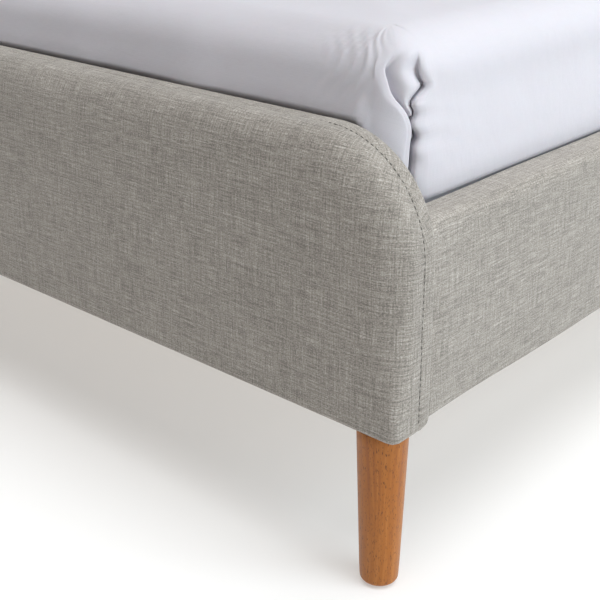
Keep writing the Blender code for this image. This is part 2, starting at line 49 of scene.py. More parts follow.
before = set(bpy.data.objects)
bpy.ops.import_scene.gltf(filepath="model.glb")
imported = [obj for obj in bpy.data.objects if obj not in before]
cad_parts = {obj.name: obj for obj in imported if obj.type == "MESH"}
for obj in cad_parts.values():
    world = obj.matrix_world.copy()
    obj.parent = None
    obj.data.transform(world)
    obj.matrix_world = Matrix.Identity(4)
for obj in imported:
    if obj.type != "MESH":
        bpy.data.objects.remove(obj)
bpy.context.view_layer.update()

ROOT = "frame"
CLOTH_UV = "cloth"
HEAD_THICKNESS = 0.070
SWEEP_START = 0.310
SWEEP_DEPTH = 0.085
BOARD_CORNER = 0.110
SIDES = {"right": 1, "left": -1}
ENDS = ("front", "rear")
CORNERS = [f"{end}_{side}" for end in ENDS for side in SIDES]
SLATS = [f"slat_{number:02d}" for number in range(1, 14)]
CENTRE_LEGS = (1, 2)
SLAT_EDGE = 0.004
THREAD_THICKNESS = 0.0008
BRACKET_WALL = 0.004
BOLT_HEAD = 0.005
SCREW_TWIST = 1.57
DUVET_CORNER = 0.060
PLEAT_ZONE = (-0.026, 0.052)
QUARTER = math.pi / 2


# ---------------------------------------------------------------- settings


def length(name, description, default):
    return bpy.props.FloatProperty(
        name=name, description=description, default=default, unit="LENGTH", min=0.0
    )


def amount(name, description, default):
    return bpy.props.FloatProperty(name=name, description=description, default=default)


def colour(name, description, default):
    return bpy.props.FloatVectorProperty(
        name=name, description=description, default=default, subtype="COLOR", min=0.0, max=1.0
    )


class UpholsterySettings(bpy.types.PropertyGroup):
    """The cloth, padding and seams of the boards and rails."""

    yarn: colour("Yarn", "Middle colour of the linen", (0.376, 0.342, 0.303))
    yarn_light: colour("Light yarn", "Colour of the palest threads", (0.62, 0.588, 0.545))
    yarn_dark: colour("Dark yarn", "Colour of the darkest threads", (0.205, 0.188, 0.166))
    # The thread is coloured much darker than the cloth: painted shade of the seam's groove that the
    # stitches sink into.
    thread: colour("Thread", "Colour of the sewing thread", (0.19, 0.18, 0.165))
    thread_pitch: length("Thread pitch", "Distance between two threads of the weave", 0.0011)
    face_rounding: length("Face rounding", "Width of the padded rounding on the outer face", 0.042)
    rim_rounding: length("Rim rounding", "How far the rounding reaches round the rim", 0.027)
    seam_from_face: length("Seam", "Distance of the seam from the outer face", 0.0365)
    stitch_from_seam: length("Topstitch", "Distance of the topstitching from the seam", 0.0004)
    stitch_pitch: length("Stitch pitch", "Distance from one stitch to the next", 0.0062)
    stitch_size: length("Stitch length", "Length of one stitch on the surface", 0.0038)


class BeddingSettings(bpy.types.PropertyGroup):
    """The mattress and the duvet."""

    cotton: colour("Cotton", "Colour of the duvet", (0.632, 0.612, 0.652))
    ticking: colour("Ticking", "Colour of the mattress cover", (0.72, 0.72, 0.70))
    tape: colour("Edge tape", "Colour of the mattress edge tape", (0.50, 0.51, 0.53))
    quilt_pitch: length("Quilting", "Distance between two quilting lines", 0.110)
    quilt_depth: length("Quilt depth", "Depth of the quilting lines", 0.005)
    duvet_roll: length("Duvet roll", "Rounding of the duvet's upper edge", 0.058)


class TimberSettings(bpy.types.PropertyGroup):
    """The legs, slats and supports."""

    stain: colour("Leg stain", "Middle colour of the legs", (0.39, 0.124, 0.012))
    stain_light: colour("Light grain", "Colour of the legs' pale grain", (0.46, 0.165, 0.028))
    stain_dark: colour("Dark grain", "Colour of the legs' dark grain", (0.315, 0.093, 0.012))
    softwood: colour("Softwood", "Middle colour of the slats", (0.62, 0.43, 0.245))
    softwood_light: colour("Pale softwood", "Colour of the slats' early wood", (0.74, 0.56, 0.36))
    softwood_dark: colour("Dark softwood", "Colour of the slats' late wood", (0.42, 0.255, 0.125))
    board: colour("Board", "Colour of the hidden boards", (0.42, 0.29, 0.17))


class HardwareSettings(bpy.types.PropertyGroup):
    """The brackets, bolts, screws and feet."""

    zinc: colour("Zinc", "Colour of the plated steel", (0.60, 0.60, 0.585))
    black_steel: colour("Powder coat", "Colour of the centre legs", (0.018, 0.018, 0.019))
    plastic: colour("Plastic", "Colour of the slat holders and feet", (0.016, 0.016, 0.017))
    felt: colour("Felt", "Colour of the pads under the legs", (0.12, 0.105, 0.09))
    screw_radius: length("Screw head", "Radius of a wood screw's head", 0.0042)


class StageSettings(bpy.types.PropertyGroup):
    """The floor, the light and the camera."""

    floor: colour("Floor", "Colour of the studio floor", (0.55, 0.55, 0.55))
    glow: amount("Floor glow", "Strength of the light table under the floor's surface", 0.43)
    ambient: amount("Ambient", "Strength of the light from overhead and all round", 0.05)
    horizon: amount("Horizon", "Strength of the pale band of light near the horizon", 0.45)
    key: amount("Key light", "Power of the large light at the bed's right", 232.0)
    top: amount("Top light", "Strength of the soft light from overhead", 2.8)
    lens: amount("Lens", "Focal length of the camera in millimetres", 68.1)


# ---------------------------------------------------------------- node materials


class NodeTree:
    """Adds nodes to a tree, sets or links their inputs and gives back one output."""

    def add(self, kind, inputs=(), output=0, **settings):
        node = self.tree.nodes.new(kind)
        for key, value in settings.items():
            setattr(node, key, value)
        for key, value in dict(inputs).items():
            if isinstance(value, bpy.types.NodeSocket):
                self.tree.links.new(value, node.inputs[key])
            else:
                node.inputs[key].default_value = value
        return node.outputs[output]


def painted(value):
    """A socket as it is, or a colour with its alpha."""
    return value if isinstance(value, bpy.types.NodeSocket) else (*value, 1.0)


class Recipe(NodeTree):
    """Builds one node material. Each method adds a node and gives back its output."""

    def __init__(self, name):
        self.material = bpy.data.materials.new(name)
        self.material.use_nodes = True
        self.tree = self.material.node_tree
        self.tree.nodes.clear()

    def object_point(self):
        return self.add("ShaderNodeTexCoord", output="Object")

    def cloth_point(self):
        return self.add("ShaderNodeUVMap", uv_map=CLOTH_UV)

    def scaled(self, point, scale, turn=(0.0, 0.0, 0.0)):
        inputs = {"Vector": point, "Scale": scale, "Rotation": turn}
        return self.add("ShaderNodeMapping", inputs)

    def split(self, point):
        node = self.add("ShaderNodeSeparateXYZ", {0: point}).node
        return node.outputs[0], node.outputs[1], node.outputs[2]

    def noise(self, point, scale, detail, rough, turn=(0.0, 0.0, 0.0)):
        """Noise over a point that is scaled and turned first."""
        inputs = {"Vector": self.scaled(point, scale, turn), "Scale": 1.0}
        return self.add("ShaderNodeTexNoise", {**inputs, "Detail": detail, "Roughness": rough})

    def voronoi(self, point, scale):
        inputs = {"Vector": self.scaled(point, scale), "Scale": 1.0}
        return self.add("ShaderNodeTexVoronoi", inputs)

    def math(self, operation, a, b=0.0, c=0.0):
        return self.add("ShaderNodeMath", {0: a, 1: b, 2: c}, operation=operation)

    def span(self, value, low, high, to_low=0.0, to_high=1.0):
        inputs = {0: value, 1: low, 2: high, 3: to_low, 4: to_high}
        return self.add("ShaderNodeMapRange", inputs, interpolation_type="SMOOTHSTEP")

    def mix(self, share, first, second):
        inputs = {0: share, 6: painted(first), 7: painted(second)}
        return self.add("ShaderNodeMix", inputs, output=2, data_type="RGBA")

    def bump(self, height, distance, strength, normal=None):
        inputs = {"Height": height, "Distance": distance, "Strength": strength}
        if normal is not None:
            inputs["Normal"] = normal
        return self.add("ShaderNodeBump", inputs)

    def finish(self, base, roughness, normal=None, **constants):
        """The Principled shader. The constants are set on its own sockets."""
        inputs = {"Base Color": painted(base), "Roughness": roughness}
        if normal is not None:
            inputs["Normal"] = normal
        for key, value in constants.items():
            inputs[key.replace("_", " ")] = value
        shader = self.add("ShaderNodeBsdfPrincipled", inputs)
        output = self.tree.nodes.new("ShaderNodeOutputMaterial")
        self.tree.links.new(shader, output.inputs[0])
        return self.material


def linen(settings):
    """Plain-woven linen: crossed threads with thick and thin slubs, pale specks and soft clouds."""
    r = Recipe("grey_linen")
    point = r.cloth_point()
    pitch = settings.thread_pitch
    along, across, _ = r.split(point)

    weft = r.noise(point, (52.0, 880.0, 1.0), 2.0, 0.6)
    warp = r.noise(point, (920.0, 44.0, 1.0), 2.0, 0.6)
    weft_slub = r.noise(point, (13.0, 430.0, 1.0), 1.0, 0.5)
    warp_slub = r.noise(point, (470.0, 13.0, 1.0), 1.0, 0.5)
    fleck = r.noise(point, (560.0, 640.0, 1.0), 2.0, 0.7)
    cloud = r.noise(point, (12.0, 17.0, 1.0), 3.0, 0.5)

    threads = r.math("ADD", weft, warp)
    tone = r.math("MULTIPLY_ADD", weft, 0.42, r.math("MULTIPLY", warp, 0.34))
    tone = r.math("MULTIPLY_ADD", weft_slub, 0.20, tone)
    tone = r.math("MULTIPLY_ADD", warp_slub, 0.14, tone)
    tone = r.math("MULTIPLY_ADD", fleck, 0.55, tone)
    tone = r.math("MULTIPLY_ADD", cloud, 0.06, r.math("ADD", tone, 0.02))
    dark_share = r.span(tone, 0.93, 0.74)
    light_share = r.span(tone, 0.91, 1.09)

    turn = math.pi / pitch
    u = r.math("MULTIPLY", along, turn)
    v = r.math("MULTIPLY", across, turn)
    over = r.math("MULTIPLY", r.math("SINE", u), r.math("SINE", v))
    round_u = r.math("ABSOLUTE", r.math("SINE", u))
    round_v = r.math("ABSOLUTE", r.math("SINE", v))
    side = r.span(over, -0.25, 0.25)
    beside = r.math("MULTIPLY", round_u, r.math("SUBTRACT", 1.0, side))
    weave = r.math("ADD", r.math("MULTIPLY", round_v, side), beside)
    speck = r.noise(point, (760.0, 760.0, 1.0), 1.0, 0.5)

    base = r.mix(dark_share, settings.yarn, settings.yarn_dark)
    base = r.mix(light_share, base, settings.yarn_light)
    base = r.mix(r.math("MULTIPLY", r.span(speck, 0.62, 0.72), 0.6), base, settings.yarn_light)
    base = r.mix(r.span(weave, 0.32, 0.02, 0.0, 0.42), base, settings.yarn_dark)

    height = r.math("MULTIPLY_ADD", weave, 0.55, r.math("MULTIPLY", threads, 0.75))
    normal = r.bump(height, 0.0007, 0.55)
    soft = r.noise(point, (55.0, 55.0, 1.0), 3.0, 0.55)
    normal = r.bump(soft, 0.0010, 0.22, normal)
    roughness = r.span(tone, 0.7, 1.3, 0.96, 0.82)
    return r.finish(
        base, roughness, normal, Sheen_Weight=0.22, Sheen_Roughness=0.45, Specular_IOR_Level=0.25
    )


def cotton(settings):
    """Fine white percale: almost smooth, with a faint thread and soft creases whose hollows are
    painted darker as shade.
    """
    r = Recipe("white_cotton")
    point = r.cloth_point()
    weft = r.noise(point, (60.0, 1500.0, 1.0), 2.0, 0.5)
    warp = r.noise(point, (1500.0, 60.0, 1.0), 2.0, 0.5)
    thread = r.math("ADD", weft, warp)
    crease = r.noise(point, (11.0, 17.0, 1.0), 4.0, 0.55, (0.0, 0.0, 0.6))
    pucker = r.noise(point, (38.0, 24.0, 1.0), 3.0, 0.5, (0.0, 0.0, -0.4))
    shade = tuple(c * 0.93 for c in settings.cotton)
    base = r.mix(r.span(thread, 0.7, 1.3, 0.35, 0.0), settings.cotton, shade)
    # painted shade: the cloth is darker in the hollows of the creases
    base = r.mix(r.span(crease, 0.35, 0.65, 0.25, 0.0), base, shade)
    normal = r.bump(thread, 0.00025, 0.35)
    normal = r.bump(crease, 0.004, 0.28, normal)
    normal = r.bump(pucker, 0.0016, 0.22, normal)
    roughness = r.span(thread, 0.6, 1.4, 0.88, 0.76)
    return r.finish(
        base, roughness, normal, Sheen_Weight=0.12, Sheen_Roughness=0.5, Specular_IOR_Level=0.3,
        Subsurface_Weight=0.06, Subsurface_Scale=0.004,
    )


def ticking(settings):
    """Knitted mattress cover with a small ribbed figure."""
    r = Recipe("mattress_ticking")
    point = r.cloth_point()
    along, across, _ = r.split(point)
    rib = r.math("SINE", r.math("MULTIPLY", along, 2 * math.pi / 0.0026))
    course = r.math("SINE", r.math("MULTIPLY", across, 2 * math.pi / 0.0018))
    knit = r.math("MULTIPLY", rib, course)
    figure = r.noise(point, (30.0, 30.0, 1.0), 1.0, 0.5)
    shade = tuple(c * 0.86 for c in settings.ticking)
    base = r.mix(r.span(knit, 0.2, -0.6, 0.0, 0.8), settings.ticking, shade)
    base = r.mix(r.span(figure, 0.45, 0.58, 0.0, 0.25), base, shade)
    normal = r.bump(knit, 0.0006, 0.5)
    return r.finish(base, 0.9, normal, Sheen_Weight=0.2, Sheen_Roughness=0.5)


def woven_tape(name, tint):
    """Twilled tape, sewing thread or felt in one colour."""
    r = Recipe(name)
    point = r.object_point()
    twill = r.noise(point, (900.0, 900.0, 900.0), 1.0, 0.5, (0.5, 0.4, 0.8))
    fuzz = r.noise(point, (160.0, 160.0, 160.0), 3.0, 0.6)
    dark = tuple(c * 0.6 for c in tint)
    base = r.mix(r.span(twill, 0.4, 0.6, 0.6, 0.0), tint, dark)
    base = r.mix(r.span(fuzz, 0.4, 0.65, 0.3, 0.0), base, dark)
    normal = r.bump(twill, 0.0004, 0.5)
    return r.finish(base, r.span(fuzz, 0.3, 0.7, 0.95, 0.85), normal, Sheen_Weight=0.15)


def stained_wood(settings):
    """Close-grained hardwood under a satin honey stain: fine upright grain and short dark pores."""
    r = Recipe("stained_hardwood")
    point = r.object_point()
    drift = r.noise(point, (16.0, 16.0, 4.0), 2.0, 0.5)
    bent = r.add("ShaderNodeVectorMath", {0: point, 1: r.scaled(drift, (0.02, 0.02, 0.0))},
                 operation="ADD")
    grain = r.noise(bent, (330.0, 330.0, 9.0), 4.0, 0.6)
    band = r.noise(bent, (85.0, 85.0, 3.4), 2.0, 0.5)
    pore = r.noise(bent, (1050.0, 1050.0, 240.0), 1.0, 0.5)
    patch = r.noise(point, (9.0, 9.0, 7.0), 2.0, 0.5)
    tone = r.math("MULTIPLY_ADD", grain, 0.74, r.math("MULTIPLY", band, 0.26))
    tone = r.math("MULTIPLY_ADD", patch, 0.25, tone)
    base = r.mix(r.span(tone, 0.60, 0.46), settings.stain, settings.stain_dark)
    base = r.mix(r.span(tone, 0.58, 0.78), base, settings.stain_light)
    pores = r.span(pore, 0.60, 0.70)
    pore_colour = tuple(c * 0.42 for c in settings.stain_dark)
    base = r.mix(r.math("MULTIPLY", pores, 0.85), base, pore_colour)
    height = r.math("SUBTRACT", r.math("MULTIPLY", grain, 0.5), pores)
    normal = r.bump(height, 0.0003, 0.3)
    roughness = r.span(grain, 0.3, 0.7, 0.34, 0.46)
    return r.finish(base, roughness, normal, Specular_IOR_Level=0.35, Coat_Weight=0.08,
                    Coat_Roughness=0.3)

def planed_softwood(name, settings, axis):
    """Planed pine, its grain along an axis of the bed: pale early wood, dark late lines, knots."""
    r = Recipe(name)
    point = r.object_point()

    def stretched(along, across):
        return {"X": (along, across, across), "Y": (across, along, across)}[axis]

    rings = r.noise(point, stretched(1.6, 34.0), 2.5, 0.55)
    lines = r.math("FRACT", r.math("MULTIPLY", rings, 9.0))
    fine = r.noise(point, stretched(14.0, 520.0), 3.0, 0.6)
    knot = r.voronoi(point, stretched(3.2, 9.0))
    base = r.mix(r.span(lines, 0.35, 0.95), settings.softwood_light, settings.softwood)
    base = r.mix(r.span(lines, 0.86, 1.0, 0.0, 0.7), base, settings.softwood_dark)
    base = r.mix(r.span(fine, 0.45, 0.7, 0.0, 0.35), base, settings.softwood)
    base = r.mix(r.span(knot, 0.10, 0.03, 0.0, 0.85), base, settings.softwood_dark)
    normal = r.bump(r.math("ADD", lines, fine), 0.0003, 0.3)
    return r.finish(base, r.span(fine, 0.3, 0.7, 0.72, 0.58), normal)


def sheet_board(settings):
    """Pressed board of small chips."""
    r = Recipe("pressed_board")
    point = r.object_point()
    chips = r.voronoi(point, (220.0, 220.0, 220.0))
    dark = tuple(c * 0.55 for c in settings.board)
    base = r.mix(r.span(chips, 0.1, 0.7), settings.board, dark)
    return r.finish(base, 0.85, r.bump(chips, 0.0004, 0.4))


def plated_steel(settings):
    """Zinc-plated steel: soft spangles, fine scratches and duller patches."""
    r = Recipe("zinc_plate")
    point = r.object_point()
    spangle = r.voronoi(point, (150.0, 150.0, 150.0))
    scratch = r.noise(point, (1200.0, 60.0, 900.0), 2.0, 0.5, (0.3, 0.2, 0.5))
    wear = r.noise(point, (30.0, 30.0, 30.0), 3.0, 0.6)
    warm = (settings.zinc[0] * 0.86, settings.zinc[1] * 0.84, settings.zinc[2] * 0.74)
    base = r.mix(r.span(spangle, 0.1, 0.7, 0.0, 0.5), settings.zinc, warm)
    dull = tuple(c * 0.6 for c in settings.zinc)
    base = r.mix(r.span(wear, 0.55, 0.7, 0.0, 0.4), base, dull)
    roughness = r.span(r.math("ADD", scratch, wear), 0.7, 1.3, 0.26, 0.46)
    return r.finish(base, roughness, r.bump(scratch, 0.0001, 0.25), Metallic=1.0)


def coated(name, tint, roughness, grain_scale):
    """Powder coat or moulded plastic with a fine pebbled skin."""
    r = Recipe(name)
    point = r.object_point()
    pebble = r.noise(point, (grain_scale,) * 3, 2.0, 0.5)
    dust = r.noise(point, (45.0,) * 3, 3.0, 0.6)
    pale = tuple(min(1.0, c * 1.9 + 0.01) for c in tint)
    base = r.mix(r.span(dust, 0.5, 0.75, 0.0, 0.5), tint, pale)
    rough = r.span(pebble, 0.3, 0.7, roughness - 0.06, roughness + 0.08)
    return r.finish(base, rough, r.bump(pebble, 0.0002, 0.4))


def foam_rubber():
    """Pale cut foam with open cells."""
    r = Recipe("cut_foam")
    point = r.object_point()
    cells = r.voronoi(point, (500.0,) * 3)
    base = r.mix(r.span(cells, 0.2, 0.8), (0.72, 0.66, 0.46), (0.60, 0.53, 0.34))
    return r.finish(base, 0.95, r.bump(cells, 0.0005, 0.6))


def studio_floor(settings):
    """Plain pale floor, barely mottled."""
    r = Recipe("studio_floor")
    cloud = r.noise(r.object_point(), (0.8, 0.8, 0.8), 2.0, 0.5)
    dull = tuple(c * 0.985 for c in settings.floor)
    base = r.mix(r.span(cloud, 0.3, 0.7), settings.floor, dull)
    glow = {"Emission_Color": (1.0, 0.985, 0.965, 1.0), "Emission_Strength": settings.glow}
    return r.finish(base, 0.9, **glow)


MATERIALS = {}


def finish_of(name):
    """A material by name, made once from the scene's settings."""
    if name not in MATERIALS:
        scene = bpy.context.scene
        cloth = scene.bed_upholstery
        bedding = scene.bed_bedding
        timber = scene.bed_timber
        metal = scene.bed_hardware
        makers = {
            "linen": lambda: linen(cloth),
            # the thread's dark colour is painted shade of the seam's groove
            "thread": lambda: woven_tape("sewing_thread", tuple(cloth.thread)),
            "cotton": lambda: cotton(bedding),
            "ticking": lambda: ticking(bedding),
            "tape": lambda: woven_tape("mattress_tape", tuple(bedding.tape)),
            "leg_wood": lambda: stained_wood(timber),
            "slat_wood": lambda: planed_softwood("slat_pine", timber, "X"),
            "beam_wood": lambda: planed_softwood("beam_pine", timber, "Y"),
            "board": lambda: sheet_board(timber),
            "zinc": lambda: plated_steel(metal),
            "black_steel": lambda: coated("powder_coat", tuple(metal.black_steel), 0.42, 1400.0),
            "plastic": lambda: coated("moulded_plastic", tuple(metal.plastic), 0.5, 900.0),
            "felt": lambda: woven_tape("felt", tuple(metal.felt)),
            "foam": foam_rubber,
        }
        MATERIALS[name] = makers[name]()
    return MATERIALS[name]


# ---------------------------------------------------------------- mesh helpers


def soft_noise(x, y, cell, seed):
    """Smooth random waves between -1 and 1 over a plane, with bumps about one cell apart."""
    table = np.random.default_rng(seed).uniform(-1.0, 1.0, (64, 64))
    gx = np.asarray(x) / cell
    gy = np.asarray(y) / cell
    ix = np.floor(gx).astype(int)
    iy = np.floor(gy).astype(int)
    fx = gx - ix
    fy = gy - iy
    fx = fx * fx * (3 - 2 * fx)
    fy = fy * fy * (3 - 2 * fy)
    low = table[ix % 64, iy % 64] * (1 - fx) + table[(ix + 1) % 64, iy % 64] * fx
    high = table[ix % 64, (iy + 1) % 64] * (1 - fx) + table[(ix + 1) % 64, (iy + 1) % 64] * fx
    return low * (1 - fy) + high * fy


def ease(value, low, high):
    """0 below low, 1 above high and a smooth step between them."""
    t = np.clip((np.asarray(value, float) - low) / (high - low), 0.0, 1.0)
    return t * t * (3 - 2 * t)


def stations(low, high, pitch, dense_low=0.0, dense_high=0.0, fine=0.003):
    """Positions from low to high about a pitch apart, closer together near the named ends."""
    found = [low]
    while found[-1] < high:
        here = found[-1]
        step = pitch
        if here - low < dense_low or high - here < dense_high:
            step = fine
        found.append(here + step)
    found = np.array(found)
    return low + (found - low) * (high - low) / (found[-1] - low)


def linked(name, data):
    """A new object in the scene."""
    obj = bpy.data.objects.new(name, data)
    bpy.context.scene.collection.objects.link(obj)
    return obj


def new_piece(name, vertices, faces, material, uv=None, smooth=True):
    """A piece whose place is in its mesh, with its faces turned outwards."""
    mesh = bpy.data.meshes.new(name)
    mesh.from_pydata([tuple(v) for v in vertices], [], faces)
    if uv is not None:
        layer = mesh.uv_layers.new(name=CLOTH_UV)
        layer.data.foreach_set("uv", np.asarray(uv, np.float32).ravel())
    bm = bmesh.new()
    bm.from_mesh(mesh)
    bmesh.ops.remove_doubles(bm, verts=bm.verts, dist=1e-6)
    bmesh.ops.recalc_face_normals(bm, faces=bm.faces)
    bm.to_mesh(mesh)
    bm.free()
    if smooth:
        mesh.shade_smooth()
    mesh.materials.append(material)
    return linked(name, mesh)


class Slab:
    """A padded slab: a grid on both faces, and rings from one grid round the rim to the other.

    Its plan has round corners. An open slab has a straight end at b = 0. Its profile is a list of
    (inset, height) pairs from the edge of the first grid to the edge of the second. The inset is
    how far in from the outline the ring lies, and the first and last are the corner radius.
    """

    def __init__(self, across, along, corner, profile, arc_steps, closed=False, hem=None):
        self.across = np.asarray(across)
        self.along = np.asarray(along)
        self.corner = corner
        self.profile = np.asarray(profile, float)
        self.shares = np.asarray(
            np.arange(1, arc_steps) / arc_steps if isinstance(arc_steps, int) else arc_steps
        )
        self.closed = closed
        self.hem = len(profile) // 2 if hem is None else hem
        self._outline()
        self._vertices()
        self._faces()

    def _outline(self):
        """The outline's points, their outward directions and the grid cell each one meets."""
        a, b, r = self.across, self.along, self.corner
        last_a, last_b = len(a) - 1, len(b) - 1
        points, outward, cells = [], [], []

        def put(column, row, direction):
            points.append((a[column] + direction[0] * r, b[row] + direction[1] * r))
            outward.append(direction)
            cells.append((column, row))

        def side(column_row, direction):
            for column, row in column_row:
                put(column, row, direction)

        def arc(column, row, start):
            turned = start in (QUARTER, 3 * QUARTER)
            for share in (1 - self.shares[::-1]) if turned else self.shares:
                angle = start + share * QUARTER
                put(column, row, (math.cos(angle), math.sin(angle)))

        side([(last_a, row) for row in range(last_b + 1)], (1.0, 0.0))
        arc(last_a, last_b, 0.0)
        side([(column, last_b) for column in range(last_a, -1, -1)], (0.0, 1.0))
        arc(0, last_b, QUARTER)
        side([(0, row) for row in range(last_b, -1, -1)], (-1.0, 0.0))
        if self.closed:
            arc(0, 0, math.pi)
            side([(column, 0) for column in range(last_a + 1)], (0.0, -1.0))
            arc(last_a, 0, 3 * QUARTER)
        self.points = np.array(points)
        self.outward = np.array(outward)
        self.cells = cells
        steps = np.linalg.norm(np.diff(self.points, axis=0), axis=1)
        self.travel = np.concatenate([[0.0], np.cumsum(steps)])

    def _vertices(self):
        """Each vertex's place, height, ring, inset, way round the outline and place on the cloth."""
        columns, rows = len(self.across), len(self.along)
        self.grid_size = columns * rows
        grid_a, grid_b = np.meshgrid(self.across, self.along)
        grid = np.stack([grid_a.ravel(), grid_b.ravel()], axis=1)
        rings = len(self.profile)
        lengths = np.concatenate(
            [[0.0], np.cumsum(np.linalg.norm(np.diff(self.profile, axis=0), axis=1))]
        )
        rows_found = []

        def put(places, level, number, depth, way, normal, seen_front, seen_back):
            fixed = (np.full(len(places), value) for value in (level, number, depth))
            rows_found.append((places, *fixed, way, normal, seen_front, seen_back))

        flat = np.zeros((len(grid), 2))
        still = np.full(len(grid), -1.0)
        put(grid, self.profile[0, 1], 0, self.corner, still, flat, grid, grid)
        for k in range(1, rings - 1):
            depth, level = self.profile[k]
            places = self.points - self.outward * depth
            unrolled = self.points - self.outward * (self.corner - lengths[k])
            unrolled_back = self.points - self.outward * (self.corner - lengths[-1] + lengths[k])
            put(places, level, k, depth, self.travel, self.outward, unrolled, unrolled_back)
        put(grid, self.profile[-1, 1], rings - 1, self.corner, still, flat, grid, grid)
        names = ("plan", "height", "ring", "inset", "way", "normal", "front", "back")
        for name, values in zip(names, zip(*rows_found)):
            setattr(self, name, np.concatenate(values))

    def index(self, k, i):
        columns = len(self.across)
        rings = len(self.profile)
        if k in (0, rings - 1):
            column, row = self.cells[i]
            start = 0 if k == 0 else self.grid_size + (rings - 2) * len(self.points)
            return start + row * columns + column
        return self.grid_size + (k - 1) * len(self.points) + i

    def _faces(self):
        """Quads of both grids, the rings and, on an open slab, the flat end."""
        columns, rows = len(self.across), len(self.along)
        rings = len(self.profile)
        back_start = self.grid_size + (rings - 2) * len(self.points)
        faces, bands = [], []

        def put(corners, band):
            unique = list(dict.fromkeys(corners))
            if len(unique) > 2:
                faces.append(unique)
                bands.append(band)

        for start, band in ((0, 0), (back_start, rings)):
            for row in range(rows - 1):
                for column in range(columns - 1):
                    here = start + row * columns + column
                    put([here, here + 1, here + 1 + columns, here + columns], band)
        count = len(self.points)
        turns = count if self.closed else count - 1
        for k in range(rings - 1):
            for i in range(turns):
                j = (i + 1) % count
                ways = ((k, i), (k, j), (k + 1, j), (k + 1, i))
                put([self.index(*way) for way in ways], k)
        if not self.closed:
            for column in range(columns - 1):
                put([column, column + 1, back_start + column + 1, back_start + column], rings)
            for i in (0, count - 1):
                outer, inner = 0, rings - 1
                while outer < self.hem or inner > self.hem:
                    step_out = (outer + 1) / self.hem
                    step_in = (rings - inner) / (rings - 1 - self.hem)
                    corners = [outer, inner]
                    if step_out <= step_in + 1e-9 and outer < self.hem:
                        outer += 1
                        corners.append(outer)
                    if step_in <= step_out + 1e-9 and inner > self.hem:
                        inner -= 1
                        corners = [corners[0], *corners[2:], inner, corners[1]]
                    put([self.index(n, i) for n in corners], rings)
        self.faces = faces
        self.bands = bands

    def cloth_uv(self, seam_ring, shift=(2.37, 1.13)):
        """Each face corner's place on the cloth, which is cut at the seam ring."""
        corners = np.array([v for face in self.faces for v in face])
        sizes = [len(face) for face in self.faces]
        behind = np.repeat(np.array(self.bands) >= seam_ring, sizes)
        return np.where(behind[:, None], self.back[corners] + np.array(shift), self.front[corners])


def lathe(name, profile, place, material, steps=64):
    """A turned piece about +Z from (radius, height) points, closed on its axis."""
    vertices, faces, rows = [], [], []
    for radius, height in profile:
        count = steps if radius else 1
        rows.append(range(len(vertices), len(vertices) + count))
        for step in range(count):
            angle = 2 * math.pi * step / steps
            x = place[0] + radius * math.cos(angle)
            y = place[1] + radius * math.sin(angle)
            vertices.append((x, y, place[2] + height))
    for low, high in zip(rows, rows[1:]):
        for step in range(steps):
            j = (step + 1) % steps
            ways = ((low, step), (low, j), (high, j), (high, step))
            unique = list(dict.fromkeys(row[way % len(row)] for row, way in ways))
            if len(unique) > 2:
                faces.append(unique)
    return new_piece(name, vertices, faces, material)


def sharpen(obj, degrees=40.0):
    obj.data.set_sharp_from_angle(angle=math.radians(degrees))
    return obj


# ---------------------------------------------------------------- boards and rails


class Pattern(NodeTree):
    """Builds one Geometry Nodes tree and turns what it makes into a plain mesh."""

    def __init__(self, name):
        self.tree = bpy.data.node_groups.new(name, "GeometryNodeTree")
        kind = "NodeSocketGeometry"
        self.tree.interface.new_socket("Geometry", in_out="OUTPUT", socket_type=kind)
        self.names = {}
        self.entry = self.tree.nodes.new("NodeGroupInput")

    def input(self, name, kind="Float"):
        socket = self.tree.interface.new_socket(
            name, in_out="INPUT", socket_type="NodeSocket" + kind
        )
        self.names[name] = socket.identifier
        return next(s for s in self.entry.outputs if s.identifier == socket.identifier)

    def math(self, operation, a, b=0.0):
        return self.add("ShaderNodeMath", {0: a, 1: b}, operation=operation)

    def vector(self, x=0.0, y=0.0, z=0.0):
        return self.add("ShaderNodeCombineXYZ", {0: x, 1: y, 2: z})

    def finish(self, instances, material):
        real = self.add("GeometryNodeRealizeInstances", {0: instances})
        painted = self.add("GeometryNodeSetMaterial", {"Geometry": real, "Material": material})
        exit_node = self.tree.nodes.new("NodeGroupOutput")
        self.tree.links.new(painted, exit_node.inputs[0])

    def grow(self, name, values, seed_mesh=None):
        """Runs the tree on an object of its own and keeps the result as that object's mesh."""
        obj = linked(name, seed_mesh or bpy.data.meshes.new(name))
        modifier = obj.modifiers.new("pattern", "NODES")
        modifier.node_group = self.tree
        for key, value in values.items():
            modifier[self.names[key]] = value
        graph = bpy.context.evaluated_depsgraph_get()
        mesh = bpy.data.meshes.new_from_object(obj.evaluated_get(graph))
        obj.modifiers.remove(modifier)
        obj.data = mesh
        mesh.name = name
        mesh.shade_smooth()
        return obj


def settle(obj, *nodes, slot, body=ROOT):
    """Puts a finished piece on its body, in place of its solids."""
    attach(obj, body)
    if nodes:
        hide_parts(*nodes)
    return obj


